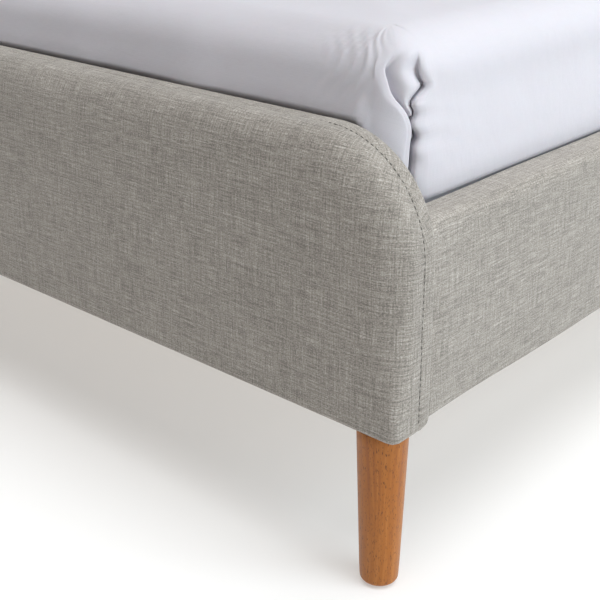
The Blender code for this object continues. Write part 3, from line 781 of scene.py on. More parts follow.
def board_profile(thickness, settings, corner, back_rounding=0.005):
    """Rings from a board's outer face round its rim to the inner face, with the seam's groove."""
    half = thickness / 2
    wide, deep = settings.face_rounding, settings.rim_rounding
    rings = [(corner, -half)]
    rings += [(d, -half) for d in np.linspace(corner, wide, 7)[1:-1]]
    for step in range(11):
        angle = step * math.pi / 20
        rings.append((wide * (1 - math.sin(angle)), -half + deep * (1 - math.cos(angle))))
    seam = -half + settings.seam_from_face
    groove = ((-0.0060, 0.0), (-0.0034, 0.0001), (-0.0014, 0.0004), (0.0, 0.0008),
              (0.0014, 0.0004), (0.0034, 0.0001))
    rings += [(depth, seam + offset) for offset, depth in groove]
    rear = half - back_rounding
    if rear > seam + 0.0085:
        rings.append((0.0, seam + 0.0062))
    for step in range(7):
        angle = step * math.pi / 12
        inset = back_rounding * (1 - math.cos(angle))
        rings.append((inset, rear + back_rounding * math.sin(angle)))
    rings += [(d, half) for d in np.linspace(back_rounding, corner, 6)[1:]]
    seam_ring = next(i for i, (_, h) in enumerate(rings) if abs(h - seam) < 1e-6)
    return rings, seam_ring


def padded_board(name, box, thickness, settings, sweep=None, seed=3):
    """A board's cover: padded outer face, seam round the rim, tight lower corners."""
    low, high = box
    width = high.x - low.x
    height = high.z - low.z
    corner = BOARD_CORNER
    profile, seam_ring = board_profile(thickness, settings, corner)
    half_grid = width / 2 - corner
    across = stations(-half_grid, half_grid, 0.009)
    along = stations(0.0, height - corner, 0.0075, 0.012, 0.0, 0.0015)
    slab = Slab(across, along, corner, profile, 26)
    a, b = slab.plan[:, 0].copy(), slab.plan[:, 1].copy()
    h = slab.height.copy()

    # tight at the lower corners: the rounding narrows towards the lower edge
    wide, deep, tight = settings.face_rounding, settings.rim_rounding, 0.0075
    low_share = 1 - ease(b, 0.004, 0.095)
    front = -thickness / 2
    rounded = (np.abs(slab.normal[:, 0]) > 0.99) & (slab.inset <= wide)
    rounded &= h <= front + deep + 1e-6
    turned = np.arcsin(np.clip(1 - slab.inset / wide, 0.0, 1.0)) / QUARTER
    parts = (wide - tight, math.pi * tight / 2, deep - tight)
    way = turned * sum(parts)
    angle = np.clip((way - parts[0]) / tight, 0.0, QUARTER)
    new_inset = np.where(way < parts[0], wide - way, tight * (1 - np.sin(angle)))
    past = way - parts[0] - parts[1] + tight
    new_height = np.where(angle < QUARTER, tight * (1 - np.cos(angle)), past)
    a -= np.where(rounded, slab.normal[:, 0] * (new_inset - slab.inset) * low_share, 0.0)
    h = np.where(rounded, h + (front + new_height - h) * low_share, h)

    # the foam crowns the face a little and the cloth is never quite flat
    crown = ease(np.where(slab.way < 0, 0.2, slab.inset), 0.03, 0.11) * ease(b, 0.0, 0.06)
    wave = soft_noise(a, b, 0.17, seed) * 0.0011 + soft_noise(a, b, 0.06, seed + 1) * 0.0005
    h += np.where(h < -thickness / 2 + 0.004, -0.0010 * crown + wave * ease(b, 0.0, 0.05), 0.0)
    h += np.where(h > thickness / 2 - 0.001, soft_noise(a, b, 0.15, seed + 2) * 0.0006, 0.0)

    # small puckers beside the seam
    seam_h = slab.profile[seam_ring, 1]
    near = (slab.way >= 0) & (np.abs(h - seam_h) < 0.016) & (slab.inset < 0.012)
    fade = np.exp(-np.abs(h - seam_h) / 0.0055)
    pucker = soft_noise(slab.way, h * 2.0, 0.0052, seed + 5) * 0.00055
    pucker = pucker * fade * ease(slab.way, 0.0, 0.01)
    a -= np.where(near, slab.normal[:, 0] * pucker, 0.0)
    b -= np.where(near, slab.normal[:, 1] * pucker, 0.0)

    # the lower edge turns under with a small radius, and further at the back of each end
    under = 0.0045
    lift = np.clip(under - b, 0.0, under)
    turn = under - np.sqrt(np.maximum(under**2 - lift**2, 0.0))
    side = np.where(np.abs(h) > thickness / 2 - 0.02, np.sign(h), h / (thickness / 2))
    h -= side * turn
    a -= np.where(slab.inset < 0.02, slab.normal[:, 0] * turn, 0.0) * (slab.way >= 0)
    rear_round = 0.013
    back_share = np.clip((h - (thickness / 2 - rear_round)) / rear_round, 0.0, 1.0)
    raise_by = rear_round * (1 - np.sqrt(np.maximum(1 - back_share**2, 0.0)))
    end_share = ease(np.abs(a), width / 2 - 0.030, width / 2 - 0.004)
    b += raise_by * end_share * (1 - ease(b, 0.0, 0.04))
    b = np.maximum(b, 0.0)

    middle = (low.y + high.y) / 2 if sweep is None else low.y + thickness / 2
    y = middle + h
    if sweep is not None:
        y = y + sweep(b)
    vertices = np.stack([a, y, low.z + b], axis=1)
    uv = slab.cloth_uv(seam_ring)
    return sharpen(new_piece(name, vertices, slab.faces, finish_of("linen"), uv), 62.0)


def head_sweep(height):
    """How far back the headboard's cloth lies at a height above its lower edge."""
    low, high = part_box("headboard_cover")
    share = np.clip((np.asarray(height) - SWEEP_START) / (high.z - low.z - SWEEP_START), 0.0, 1.0)
    return SWEEP_DEPTH * share**2


def outline_path(box, corner, inset, lift, steps=40):
    """The points of a board's rim from one lower corner over the top to the other."""
    low, high = box
    half = (high.x - low.x) / 2 - inset
    top = high.z - inset
    radius = corner - inset
    points = [(half, low.z + lift)]
    for centre_x, start in ((half - radius, 0.0), (radius - half, QUARTER)):
        for step in range(steps + 1):
            angle = start + step * math.pi / 2 / steps
            x = centre_x + radius * math.cos(angle)
            points.append((x, top - radius + radius * math.sin(angle)))
    points.append((-half, low.z + lift))
    return points


def rounded_section(half_width, height, radii, pitch, steps=8):
    """A closed outline of a rail's section, from its inner lower corner, with its arc length.

    The radii are those of the inner lower, outer lower, outer upper and inner upper corners.
    """
    corners = [(-half_width, 0.0), (half_width, 0.0), (half_width, height), (-half_width, height)]
    starts = (math.pi, 1.5 * math.pi, 0.0, 0.5 * math.pi)
    turns = ((1, 1), (-1, 1), (-1, -1), (1, -1))
    outline = []
    for (x, z), start, radius, (dx, dz) in zip(corners, starts, radii, turns):
        for step in range(steps + 1):
            angle = start + step * math.pi / 2 / steps
            turn_x = x + dx * radius + radius * math.cos(angle)
            turn_z = z + dz * radius + radius * math.sin(angle)
            outline.append((turn_x, turn_z))
    points = []
    for here, there in zip(outline, outline[1:] + outline[:1]):
        span = math.dist(here, there)
        count = max(1, round(span / pitch)) if span > pitch else 1
        for step in range(count):
            share = step / count
            points.append([here[k] + (there[k] - here[k]) * share for k in (0, 1)])
    points = np.array(points)
    spans = np.linalg.norm(np.roll(points, -1, axis=0) - points, axis=1)
    return points, np.concatenate([[0.0], np.cumsum(spans)])


def padded_rail(name, box, side, seed):
    """A side rail's cover: one wrap of cloth over thin padding, its ends let into the boards."""
    low, high = box
    half = (high.x - low.x) / 2
    height = high.z - low.z
    section, travel = rounded_section(half, height, (0.005, 0.006, 0.013, 0.004), 0.010)
    count = len(section)
    along = stations(low.y, high.y, 0.010, 0.02, 0.02, 0.002)
    spans = np.roll(section, -1, axis=0) - np.roll(section, 1, axis=0)
    outward = np.stack([spans[:, 1], -spans[:, 0]], axis=1)
    outward /= np.linalg.norm(outward, axis=1)[:, None]
    grid_y, grid_t = np.meshgrid(along, travel[:-1], indexing="ij")
    wave = soft_noise(grid_y, grid_t, 0.14, seed) * 0.0009
    wave = wave + soft_noise(grid_y, grid_t, 0.05, seed + 1) * 0.0003
    ends = ease(grid_y, low.y, low.y + 0.02) * (1 - ease(grid_y, high.y - 0.02, high.y))
    grid_y = np.where(grid_y > low.y + 1e-6, grid_y, low.y - 0.0045)
    grid_y = np.where(grid_y < high.y - 1e-6, grid_y, high.y + 0.009)
    out_share = np.clip(outward[:, 0], 0.0, 1.0)
    crown = np.sin(np.clip(section[:, 1] / height, 0, 1) * math.pi) * out_share * 0.0022
    swell = (wave - 0.0006) * ends + crown[None, :] * ends
    inner = section[:, 0] < 0
    swell = np.where(inner[None, :], np.minimum(swell, 0.0), swell)
    x = side * ((low.x + high.x) / 2 * side + section[None, :, 0] + outward[None, :, 0] * swell)
    z = low.z + section[None, :, 1] + outward[None, :, 1] * swell
    vertices = np.stack([x, np.broadcast_to(grid_y, x.shape), z], axis=2).reshape(-1, 3)
    faces, uv = [], []
    for row in range(len(along) - 1):
        for step in range(count):
            j = (step + 1) % count
            here, there = row * count, (row + 1) * count
            faces.append([here + step, here + j, there + j, there + step])
            for r, t in ((row, step), (row, step + 1), (row + 1, step + 1), (row + 1, step)):
                uv.append((along[r] + 4.0 * side, travel[t] + 0.7))
    for row in (0, len(along) - 1):
        faces.append([row * count + step for step in range(count)])
        uv.extend((section[step, 0] + 3.0, section[step, 1]) for step in range(count))
    return sharpen(new_piece(name, vertices, faces, finish_of("linen"), uv), 60.0)


def stitch_pattern():
    """Stitches laid end to end along a path, each a small sunken stretch of thread, coloured dark as
    painted shade of the seam's groove.
    """
    pattern = Pattern("topstitches")
    path = pattern.input("Path", "Geometry")
    pitch = pattern.input("Stitch pitch")
    size = pattern.input("Stitch length")
    thick = pattern.input("Thread thickness")
    curve = pattern.add("GeometryNodeMeshToCurve", {0: path})
    spaced = {"Curve": curve, "Length": pitch}
    points = pattern.add("GeometryNodeCurveToPoints", spaced, mode="LENGTH")
    stitch = pattern.add("GeometryNodeMeshUVSphere", {"Segments": 6, "Rings": 4, "Radius": 0.5})
    scale = pattern.vector(thick, thick, size)
    rotation = points.node.outputs["Rotation"]
    laid = pattern.add(
        "GeometryNodeInstanceOnPoints",
        {"Points": points, "Instance": stitch, "Rotation": rotation, "Scale": scale},
    )
    pattern.finish(laid, finish_of("thread"))
    return pattern


def path_mesh(name, paths):
    """A mesh of open paths, for a pattern to follow."""
    mesh = bpy.data.meshes.new(name)
    points, edges = [], []
    for path in paths:
        start = len(points)
        points.extend(path)
        edges.extend((start + k, start + k + 1) for k in range(len(path) - 1))
    mesh.from_pydata(points, edges, [])
    return mesh


def rim_path(box, from_face, sweep=None):
    """The two lines of a board's rim that are topstitched: up each side and round its corner.

    They lie at a distance behind the padded face and end a little way along the top.
    """
    low, high = box
    points = []
    for x, z in outline_path(box, BOARD_CORNER, 0.0003, 0.012):
        back = 0.0 if sweep is None else float(sweep(z - low.z))
        points.append((x, low.y + from_face + back, z))
    reach = high.x - BOARD_CORNER - 0.030
    return [[p for p in points if p[0] < -reach], [p for p in points if p[0] > reach]]


# ---------------------------------------------------------------- hardware


def head_ring(count, radius, height):
    turns = [2 * math.pi * k / count for k in range(count)]
    return [(radius * math.cos(turn), radius * math.sin(turn), height) for turn in turns]


def recessed_head(name, rings, recess, depth, material):
    """A fixing's head about +Z from outer rings, with a driver's recess of the same point count."""
    vertices, rows = [], []
    top = rings[-1][0][2]
    mouth = [(x, y, top) for x, y in recess]
    floor = [(x * 0.9, y * 0.9, top - depth) for x, y in recess]
    for ring in [*rings, mouth, floor]:
        rows.append(range(len(vertices), len(vertices) + len(ring)))
        vertices.extend(ring)
    faces = [list(rows[0]), list(rows[-1])]
    for low, high in zip(rows, rows[1:]):
        for k in range(len(low)):
            j = (k + 1) % len(low)
            faces.append([low[k], low[j], high[j], high[k]])
    return new_piece(name, vertices, faces, material, smooth=False)


def cross_recess(reach, half_width):
    """The twelve corners of a cross."""
    a, b = reach, half_width
    quarter = [(a, b), (b, b), (b, a)]
    points = []
    for turn in range(4):
        c, s = round(math.cos(turn * math.pi / 2)), round(math.sin(turn * math.pi / 2))
        points.extend((x * c - y * s, x * s + y * c) for x, y in quarter)
    return points


def wood_screw(radius):
    """A pan-head screw with a cross recess."""
    angles = [math.atan2(y, x) for x, y in cross_recess(1.0, 0.28)]
    rings = []
    for share, height in ((0.92, 0.0), (1.0, 0.06), (0.93, 0.16), (0.66, 0.24)):
        reach, z = radius * share, radius * height
        rings.append([(reach * math.cos(t), reach * math.sin(t), z) for t in angles])
    recess = [(x * radius, y * radius) for x, y in cross_recess(0.46, 0.11)]
    return recessed_head("wood_screw_head", rings, recess, radius * 0.2, finish_of("zinc"))


def socket_bolt(name, place, direction, radius, height):
    """A bolt's cap head with a hexagon socket, facing along the bed."""
    count = 24
    shares = ((1.0, 0.0), (1.0, 0.8), (0.95, 0.93), (0.86, 1.0))
    rings = [head_ring(count, radius * wide, height * tall) for wide, tall in shares]
    recess = []
    flat = radius * 0.46
    for k in range(count):
        angle = 2 * math.pi * k / count
        reach = flat / math.cos((angle + math.pi / 6) % (math.pi / 3) - math.pi / 6)
        recess.append((reach * math.cos(angle), reach * math.sin(angle)))
    obj = recessed_head(name, rings, recess, height * 0.6, finish_of("zinc"))
    turn = Vector((0, 0, 1)).rotation_difference(Vector(direction)).to_matrix().to_4x4()
    obj.data.transform(Matrix.Translation(place) @ turn)
    return sharpen(obj, 35.0)


def screw_pattern():
    """Screw heads on a cloud of points, each turned to the direction that its point carries."""
    pattern = Pattern("wood_screws")
    points = pattern.input("Points", "Geometry")
    head = pattern.input("Screw head", "Object")
    twist = pattern.input("Twist")
    mesh = pattern.add("GeometryNodeObjectInfo", {"Object": head}, output="Geometry")
    direction = pattern.add(
        "GeometryNodeInputNamedAttribute", {"Name": "direction"}, data_type="FLOAT_VECTOR"
    )
    limits = {2: 0.0, 3: twist, 8: 7}
    random = pattern.add("FunctionNodeRandomValue", limits, output=1, data_type="FLOAT")
    spun = pattern.add("FunctionNodeEulerToRotation", {0: pattern.vector(0.0, 0.0, random)})
    aimed = pattern.add("FunctionNodeAlignRotationToVector", {"Vector": direction}, axis="Z")
    turned = pattern.add("FunctionNodeRotateRotation", {0: aimed, 1: spun}, rotation_space="LOCAL")
    laid = pattern.add(
        "GeometryNodeInstanceOnPoints", {"Points": points, "Instance": mesh, "Rotation": turned}
    )
    pattern.finish(laid, finish_of("zinc"))
    return pattern


def screw_places():
    """Where each screw sits and which way its head faces."""
    places = []
    for slat in SLATS:
        low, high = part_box(slat)
        for side in SIDES.values():
            for offset in (-0.024, 0.024):
                x = side * (high.x - 0.012)
                places.append(((x, (low.y + high.y) / 2 + offset, high.z - 0.0003), (0, 0, 1)))
    for side_name, side in SIDES.items():
        low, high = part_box(f"slat_ledger_{side_name}")
        face = min(abs(low.x), abs(high.x))
        for y in np.linspace(low.y + 0.08, high.y - 0.08, 8):
            places.append(((side * face, float(y), (low.z + high.z) / 2), (-side, 0, 0)))
        for end in ENDS:
            low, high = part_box(f"corner_bracket_{end}_{side_name}")
            wall = max(abs(low.x), abs(high.x)) - BRACKET_WALL
            y = high.y - 0.022 if end == "front" else low.y + 0.022
            for z in (low.z + 0.018, high.z - 0.018):
                places.append(((side * wall, y, z), (-side, 0, 0)))
    for end in ENDS:
        low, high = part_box(f"rail_saddle_{end}")
        for side in SIDES.values():
            places.append(((side * high.x, (low.y + high.y) / 2, high.z - 0.012), (side, 0, 0)))
    for number in CENTRE_LEGS:
        low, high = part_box(f"centre_leg_{number}")
        for offset in (-0.023, 0.023):
            places.append(((0.0, (low.y + high.y) / 2 + offset, high.z - 0.004), (0, 0, -1)))
    return places


def point_cloud(name, places):
    mesh = bpy.data.meshes.new(name)
    mesh.from_pydata([place for place, _ in places], [], [])
    layer = mesh.attributes.new("direction", "FLOAT_VECTOR", "POINT")
    layer.data.foreach_set("vector", np.array([d for _, d in places], np.float32).ravel())
    return mesh


def eased_copy(name, node, material, width, segments=2):
    """A CAD solid's shape with its edges eased, to stand in its place."""
    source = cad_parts[node]
    bm = bmesh.new()
    bm.from_mesh(source.data)
    bmesh.ops.remove_doubles(bm, verts=bm.verts, dist=1e-5)
    bmesh.ops.dissolve_limit(bm, angle_limit=math.radians(1.0), verts=bm.verts, edges=bm.edges)
    edges = [e for e in bm.edges if len(e.link_faces) == 2]
    sharp = [e for e in edges if e.calc_face_angle(0.0) > math.radians(38)]
    bmesh.ops.bevel(bm, geom=sharp, offset=width, segments=segments, profile=0.5,
                    affect="EDGES", clamp_overlap=True)
    mesh = bpy.data.meshes.new(name)
    bm.to_mesh(mesh)
    bm.free()
    mesh.shade_smooth()
    mesh.materials.append(material)
    return sharpen(linked(name, mesh), 32.0)


# ---------------------------------------------------------------- wooden slats


def slat_pattern():
    """A row of slats with eased edges, laid along the bed."""
    pattern = Pattern("slat_row")
    count = pattern.input("Count", "Int")
    pitch = pattern.input("Pitch")
    size_x = pattern.input("Slat length")
    size_y = pattern.input("Slat width")
    size_z = pattern.input("Slat thickness")
    edge = pattern.input("Edge rounding")
    first = pattern.input("First slat", "Vector")
    section = pattern.add(
        "GeometryNodeCurvePrimitiveQuadrilateral", {0: size_z, 1: size_y}, mode="RECTANGLE"
    )
    eased = pattern.add(
        "GeometryNodeFilletCurve", {"Curve": section, "Radius": edge, "Count": 4}, mode="POLY"
    )
    half = pattern.math("MULTIPLY", size_x, 0.5)
    line = pattern.add(
        "GeometryNodeCurvePrimitiveLine",
        {0: pattern.vector(pattern.math("MULTIPLY", half, -1.0)), 1: pattern.vector(half)},
    )
    swept = {"Curve": line, "Profile Curve": eased, "Fill Caps": True}
    slat = pattern.add("GeometryNodeCurveToMesh", swept)
    row = pattern.add(
        "GeometryNodeMeshLine",
        {"Count": count, "Start Location": first, "Offset": pattern.vector(0.0, pitch, 0.0)},
    )
    laid = pattern.add("GeometryNodeInstanceOnPoints", {"Points": row, "Instance": slat})
    pattern.finish(laid, finish_of("slat_wood"))
    return pattern


# ---------------------------------------------------------------- legs and feet


def turned_leg(name, node):
    """A round tapered leg with an eased foot, standing on a felt pad."""
    low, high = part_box(node)
    place = ((low.x + high.x) / 2, (low.y + high.y) / 2, 0.0)
    top_radius = (high.x - low.x) / 2
    foot_radius = top_radius * 0.76
    rounding, pad = 0.0055, 0.0015
    profile = [(0.0, pad), (foot_radius * 0.5, pad), (foot_radius - rounding - 0.0015, pad)]
    for step in range(9):
        angle = step * math.pi / 16
        profile.append(
            (foot_radius - rounding * (1 - math.sin(angle)), pad + rounding * (1 - math.cos(angle)))
        )
    start = pad + rounding
    for share in np.linspace(0.0, 1.0, 15)[1:]:
        z = start + share * (high.z - 0.0012 - start)
        radius = foot_radius + (top_radius - foot_radius) * (z / high.z)
        profile.append((radius, z))
    profile += [(top_radius - 0.0008, high.z), (top_radius * 0.5, high.z), (0.0, high.z)]
    leg = sharpen(lathe(name, profile, place, finish_of("leg_wood"), 96), 45.0)
    pad_radius = foot_radius - rounding - 0.001
    felt = [(0.0, 0.0), (pad_radius - 0.001, 0.0), (pad_radius, 0.0006)]
    felt += [(pad_radius, pad), (0.0, pad)]
    disc = lathe(name.replace("leg", "felt_pad"), felt, place, finish_of("felt"), 48)
    return leg, disc


def levelling_foot(name, node):
    """A moulded foot with a round collar on a threaded stem."""
    low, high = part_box(node)
    place = ((low.x + high.x) / 2, (low.y + high.y) / 2, 0.0)
    radius = (high.x - low.x) / 2
    base = [(0.0, 0.0), (radius - 0.002, 0.0), (radius - 0.0006, 0.0006), (radius, 0.002)]
    base += [(radius, 0.0045), (radius - 0.0006, 0.0062), (radius - 0.002, 0.0072)]
    base += [(radius * 0.55, 0.0090), (radius * 0.42, 0.0100), (0.0, 0.0100)]
    foot = sharpen(lathe(name, base, place, finish_of("plastic"), 64), 40.0)
    stem = [(0.0, 0.0098), (0.0066, 0.0098), (0.0070, 0.0104), (0.0070, 0.0117), (0.0066, 0.0123)]
    stem.append((0.0040, 0.0123))
    z, pitch = 0.0129, 0.00125
    while z < high.z - 0.002:
        stem += [(0.0034, z), (0.0040, z + pitch * 0.5)]
        z += pitch
    stem += [(0.0034, high.z - 0.001), (0.0, high.z - 0.0006)]
    rod = lathe(name + "_stem", stem, place, finish_of("zinc"), 24)
    return foot, sharpen(rod, 25.0)


# ---------------------------------------------------------------- bedding


def quilted_mattress(settings):
    """A sprung mattress: quilted panels, taped edges and a border with two sewn lines."""
    low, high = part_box("mattress")
    middle_y = (low.y + high.y) / 2
    half_x, half_y = (high.x - low.x) / 2, (high.y - low.y) / 2
    tall = high.z - low.z
    corner = 0.062
    rim = [
        (corner, 0.0), (0.050, 0.0), (0.038, -0.0004), (0.027, -0.0016), (0.018, -0.0045),
        (0.0125, -0.0085), (0.0105, -0.0125), (0.0075, -0.0100), (0.0040, -0.0090),
        (0.0012, -0.0105), (0.0, -0.0135), (0.0012, -0.0165), (0.0040, -0.0182), (0.0060, -0.0205),
    ]
    profile = [(d, high.z + z) for d, z in rim]
    border = tall - 2 * 0.0205
    lines = (0.36, 0.64)
    for share in np.linspace(0, 1, 23)[1:-1]:
        groove = sum(math.exp(-(((share - line) * border / 0.006) ** 2)) for line in lines)
        swell = 0.0040 * math.sin(math.pi * share)
        profile.append((0.0060 - swell + 0.0040 * groove, high.z - 0.0205 - share * border))
    profile += [(d, low.z - z) for d, z in reversed(rim)]
    grid_x, grid_y = half_x - corner, half_y - corner
    across = stations(-grid_x, grid_x, 0.0125)
    along = stations(-grid_y, grid_y, 0.0125)
    slab = Slab(across, along, corner, profile, 14, closed=True)
    a, b = slab.plan[:, 0], slab.plan[:, 1]
    pitch = settings.quilt_pitch
    groove = np.zeros(len(a))
    for turned in ((a + b) / math.sqrt(2), (a - b) / math.sqrt(2)):
        away = pitch * np.abs((turned / pitch) % 1.0 - 0.5)
        groove = np.maximum(groove, np.exp(-((away / 0.013) ** 2)))
    inside = np.where(slab.way < 0, 1.0, ease(slab.inset, 0.018, 0.045))
    panel = inside * settings.quilt_depth * groove
    upper = slab.height > (low.z + high.z) / 2
    z = slab.height + np.where(upper, -panel, panel)
    z -= np.where(upper, 0.0006 + 0.0006 * soft_noise(a, b, 0.2, 61), 0.0)
    vertices = np.stack([a, middle_y + b, z], axis=1)
    uv = slab.cloth_uv(len(rim) + 10)
    obj = new_piece("quilted_mattress", vertices, slab.faces, finish_of("ticking"), uv)
    obj.data.materials.append(finish_of("tape"))
    last = len(profile)
    for polygon, band in zip(obj.data.polygons, slab.bands):
        polygon.material_index = int(6 <= band <= 12 or last - 14 <= band <= last - 8)
    return obj


class DuvetShape:
    """The duvet's slab and the places on it: along the outline and up its outer wall."""

    def __init__(self, settings, pitch, fine, wall_pitch, arc):
        low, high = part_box("duvet")
        self.high = high
        self.corner, roll = DUVET_CORNER, settings.duvet_roll
        self.length = high.y - low.y
        self.half = (high.x - low.x) / 2
        side = self.length - self.corner
        half_grid = self.half - self.corner
        across = stations(-half_grid, half_grid, pitch, 0.12, 0.12, fine)
        along = stations(0.0, side, pitch, 0.03, 0.16, fine)
        start = high.z - roll
        profile = [(self.corner, high.z)]
        level = [start + roll * math.pi / 2 + 0.002]
        turns = max(6, round(90 * 0.0174533 * roll / wall_pitch))
        for phi in np.linspace(90, 0, turns)[1:]:
            angle = math.radians(phi)
            profile.append((roll * (1 - math.cos(angle)), start + roll * math.sin(angle)))
            level.append(start + roll * angle)
        hem = low.z
        bend = 0.356
        wall = [*np.linspace(start, bend, round((start - bend) / wall_pitch) + 1)[1:]]
        for z in [*wall, *np.linspace(bend, hem + 0.008, 6)[1:]]:
            profile.append((0.0, z))
            level.append(z)
        profile += [(0.0022, hem + 0.0024), (0.008, hem)]
        level += [hem, hem]
        hem_ring = len(profile) - 1
        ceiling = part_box("mattress")[1].z + 0.0003
        profile += [(0.0138, hem + 0.0024), (0.016, hem + 0.008)]
        profile += [(0.0180, z) for z in (0.345, 0.385, 0.425, 0.450, ceiling - 0.020)]
        rounding = ((0.0200, 0.0120), (0.0245, 0.0062), (0.0330, 0.0014))
        profile += [(inset, ceiling - drop) for inset, drop in rounding]
        profile += [(0.0450, ceiling), (self.corner, ceiling)]
        level += [hem] * (len(profile) - len(level))
        self.hem_ring = hem_ring
        self.slab = Slab(across, along, self.corner, profile, arc, hem=hem_ring)
        slab = self.slab
        self.level = np.array(level)[slab.ring]
        self.outer = slab.ring <= hem_ring
        self.phi = np.where(self.outer, np.clip((self.level - start) / roll, 0.0, math.pi / 2), 0.0)
        # distance from each foot corner's middle along the outline, growing towards the sides
        quarter = self.corner * math.pi / 2
        reach = slab.travel[-1]
        self.e_right = side + quarter / 2 - slab.way
        self.e_left = side + quarter / 2 - (reach - slab.way)
        self.on_rim = slab.way >= 0


def through(values, knots, heights):
    """Smooth values through knots, level beyond the first and last."""
    x = np.clip(values, knots[0], knots[-1])
    knots, heights = np.asarray(knots, float), np.asarray(heights, float)
    slopes = np.gradient(heights, knots)
    slopes[0] = slopes[-1] = 0.0
    k = np.clip(np.searchsorted(knots, x) - 1, 0, len(knots) - 2)
    span = knots[k + 1] - knots[k]
    t = (x - knots[k]) / span
    return (
        (2 * t**3 - 3 * t**2 + 1) * heights[k] + (t**3 - 2 * t**2 + t) * span * slopes[k]
        + (3 * t**2 - 2 * t**3) * heights[k + 1] + (t**3 - t**2) * span * slopes[k + 1]
    )


def ruffle(level):
    """Where the ruffled lip of a pleat lies, from the hem up."""
    levels = [0.300, 0.380, 0.395, 0.405, 0.419, 0.430, 0.441,
              0.451, 0.460, 0.466, 0.473, 0.484, 0.500, 0.515]
    places = [0.0135, 0.0140, 0.0145, 0.0175, 0.0180, 0.0245, 0.0175,
              0.0235, 0.0190, 0.0270, 0.0380, 0.0320, 0.0285, 0.0270]
    return through(level, levels, places)


def ruffle_mean(level):
    """The line that the ruffled lip swings about."""
    levels = [0.300, 0.395, 0.430, 0.462, 0.485, 0.515]
    return through(level, levels, [0.0135, 0.0155, 0.0195, 0.0205, 0.0275, 0.0270])


def pleat(e, level):
    """The folded corner: new places along the outline and depths into it, for the zone's points.

    The left lip lies smooth over the fold. The right lip is ruffled, with hollows behind it.
    """
    first, last = PLEAT_ZONE
    left = through(level, [0.300, 0.395, 0.420, 0.441, 0.455, 0.467, 0.485, 0.502, 0.515],
                   [0.0125, 0.0130, 0.0142, 0.0150, 0.0080, -0.0030, -0.0100, -0.0145, -0.0165])
    right = ruffle(level)
    fade = 1 - ease(level, 0.490, 0.516)
    gap = right - left
    open_share = ease(gap, 0.002, 0.014)
    shallow = (0.018 * (1 - open_share) + 0.0130 * open_share) * fade
    deep = (0.018 * (1 - open_share) + 0.0135 * open_share) * fade
    t = np.clip((e - first) / (last - first), 0.0, 1.0)
    knots = np.array([0.0, 0.10, 0.18, 0.25, 0.32, 0.42, 0.56, 0.68, 0.76, 0.83, 0.91, 1.0])
    zero = np.zeros_like(e)
    sides = [first + zero, left - 0.0120, left - 0.0058, left - 0.0012, left - 0.0026,
             left + 0.04 * gap - 0.0019, left + (0.60 - 0.16 * open_share) * gap,
             right + 0.0020, right + 0.0004, right + 0.0010, right + 0.0075, last + zero]
    depths = [zero, -0.0004 * fade, 0.0006 * fade, 0.0030 * fade, 0.0030 * fade + 0.4 * shallow,
              shallow, (0.5 - 0.32 * open_share) * (shallow + deep), deep, 0.45 * deep,
              0.0020 * fade, -0.0012 * fade, zero]
    k = np.clip(np.searchsorted(knots, t, side="right") - 1, 0, len(knots) - 2)
    share = (t - knots[k]) / (knots[k + 1] - knots[k])
    rows = np.arange(len(e))
    sides, depths = np.array(sides), np.array(depths)

    def curve(table):
        before = table[np.maximum(k - 1, 0), rows]
        start, end = table[k, rows], table[k + 1, rows]
        after = table[np.minimum(k + 2, len(knots) - 1), rows]
        square = 2 * before - 5 * start + 4 * end - after
        cube = 3 * start - before - 3 * end + after
        return 0.5 * (2 * start + (end - before) * share + square * share**2 + cube * share**3)

    return e + (curve(sides) - e) * fade, curve(depths)


def pleat_arc(corner):
    """Shares of a foot corner's quarter turn, crowded where the pleat folds."""
    quarter = corner * math.pi / 2
    low, high = ((quarter / 2 - end) / quarter for end in reversed(PLEAT_ZONE))
    before = np.linspace(0.0, low, 4)[1:-1] if low > 0.02 else np.array([])
    middle = np.linspace(max(low, 0.004), high, 72)
    after = np.linspace(high, 1.0, 9)[1:-1]
    return np.concatenate([before, middle, after])


def outline_point(shape, e, side):
    """The plan place and outward direction at a distance from a foot corner's middle."""
    r = shape.corner
    half = r * math.pi / 4
    turn = np.clip(e, -half, half) / r
    angle = math.pi / 4 - turn
    x = shape.half - r + r * np.cos(angle)
    b = shape.length - r + r * np.sin(angle)
    b = b - np.maximum(e - half, 0.0)
    x = x - np.maximum(-e - half, 0.0)
    return np.stack([side * x, b], axis=1), np.stack([side * np.cos(angle), np.sin(angle)], axis=1)


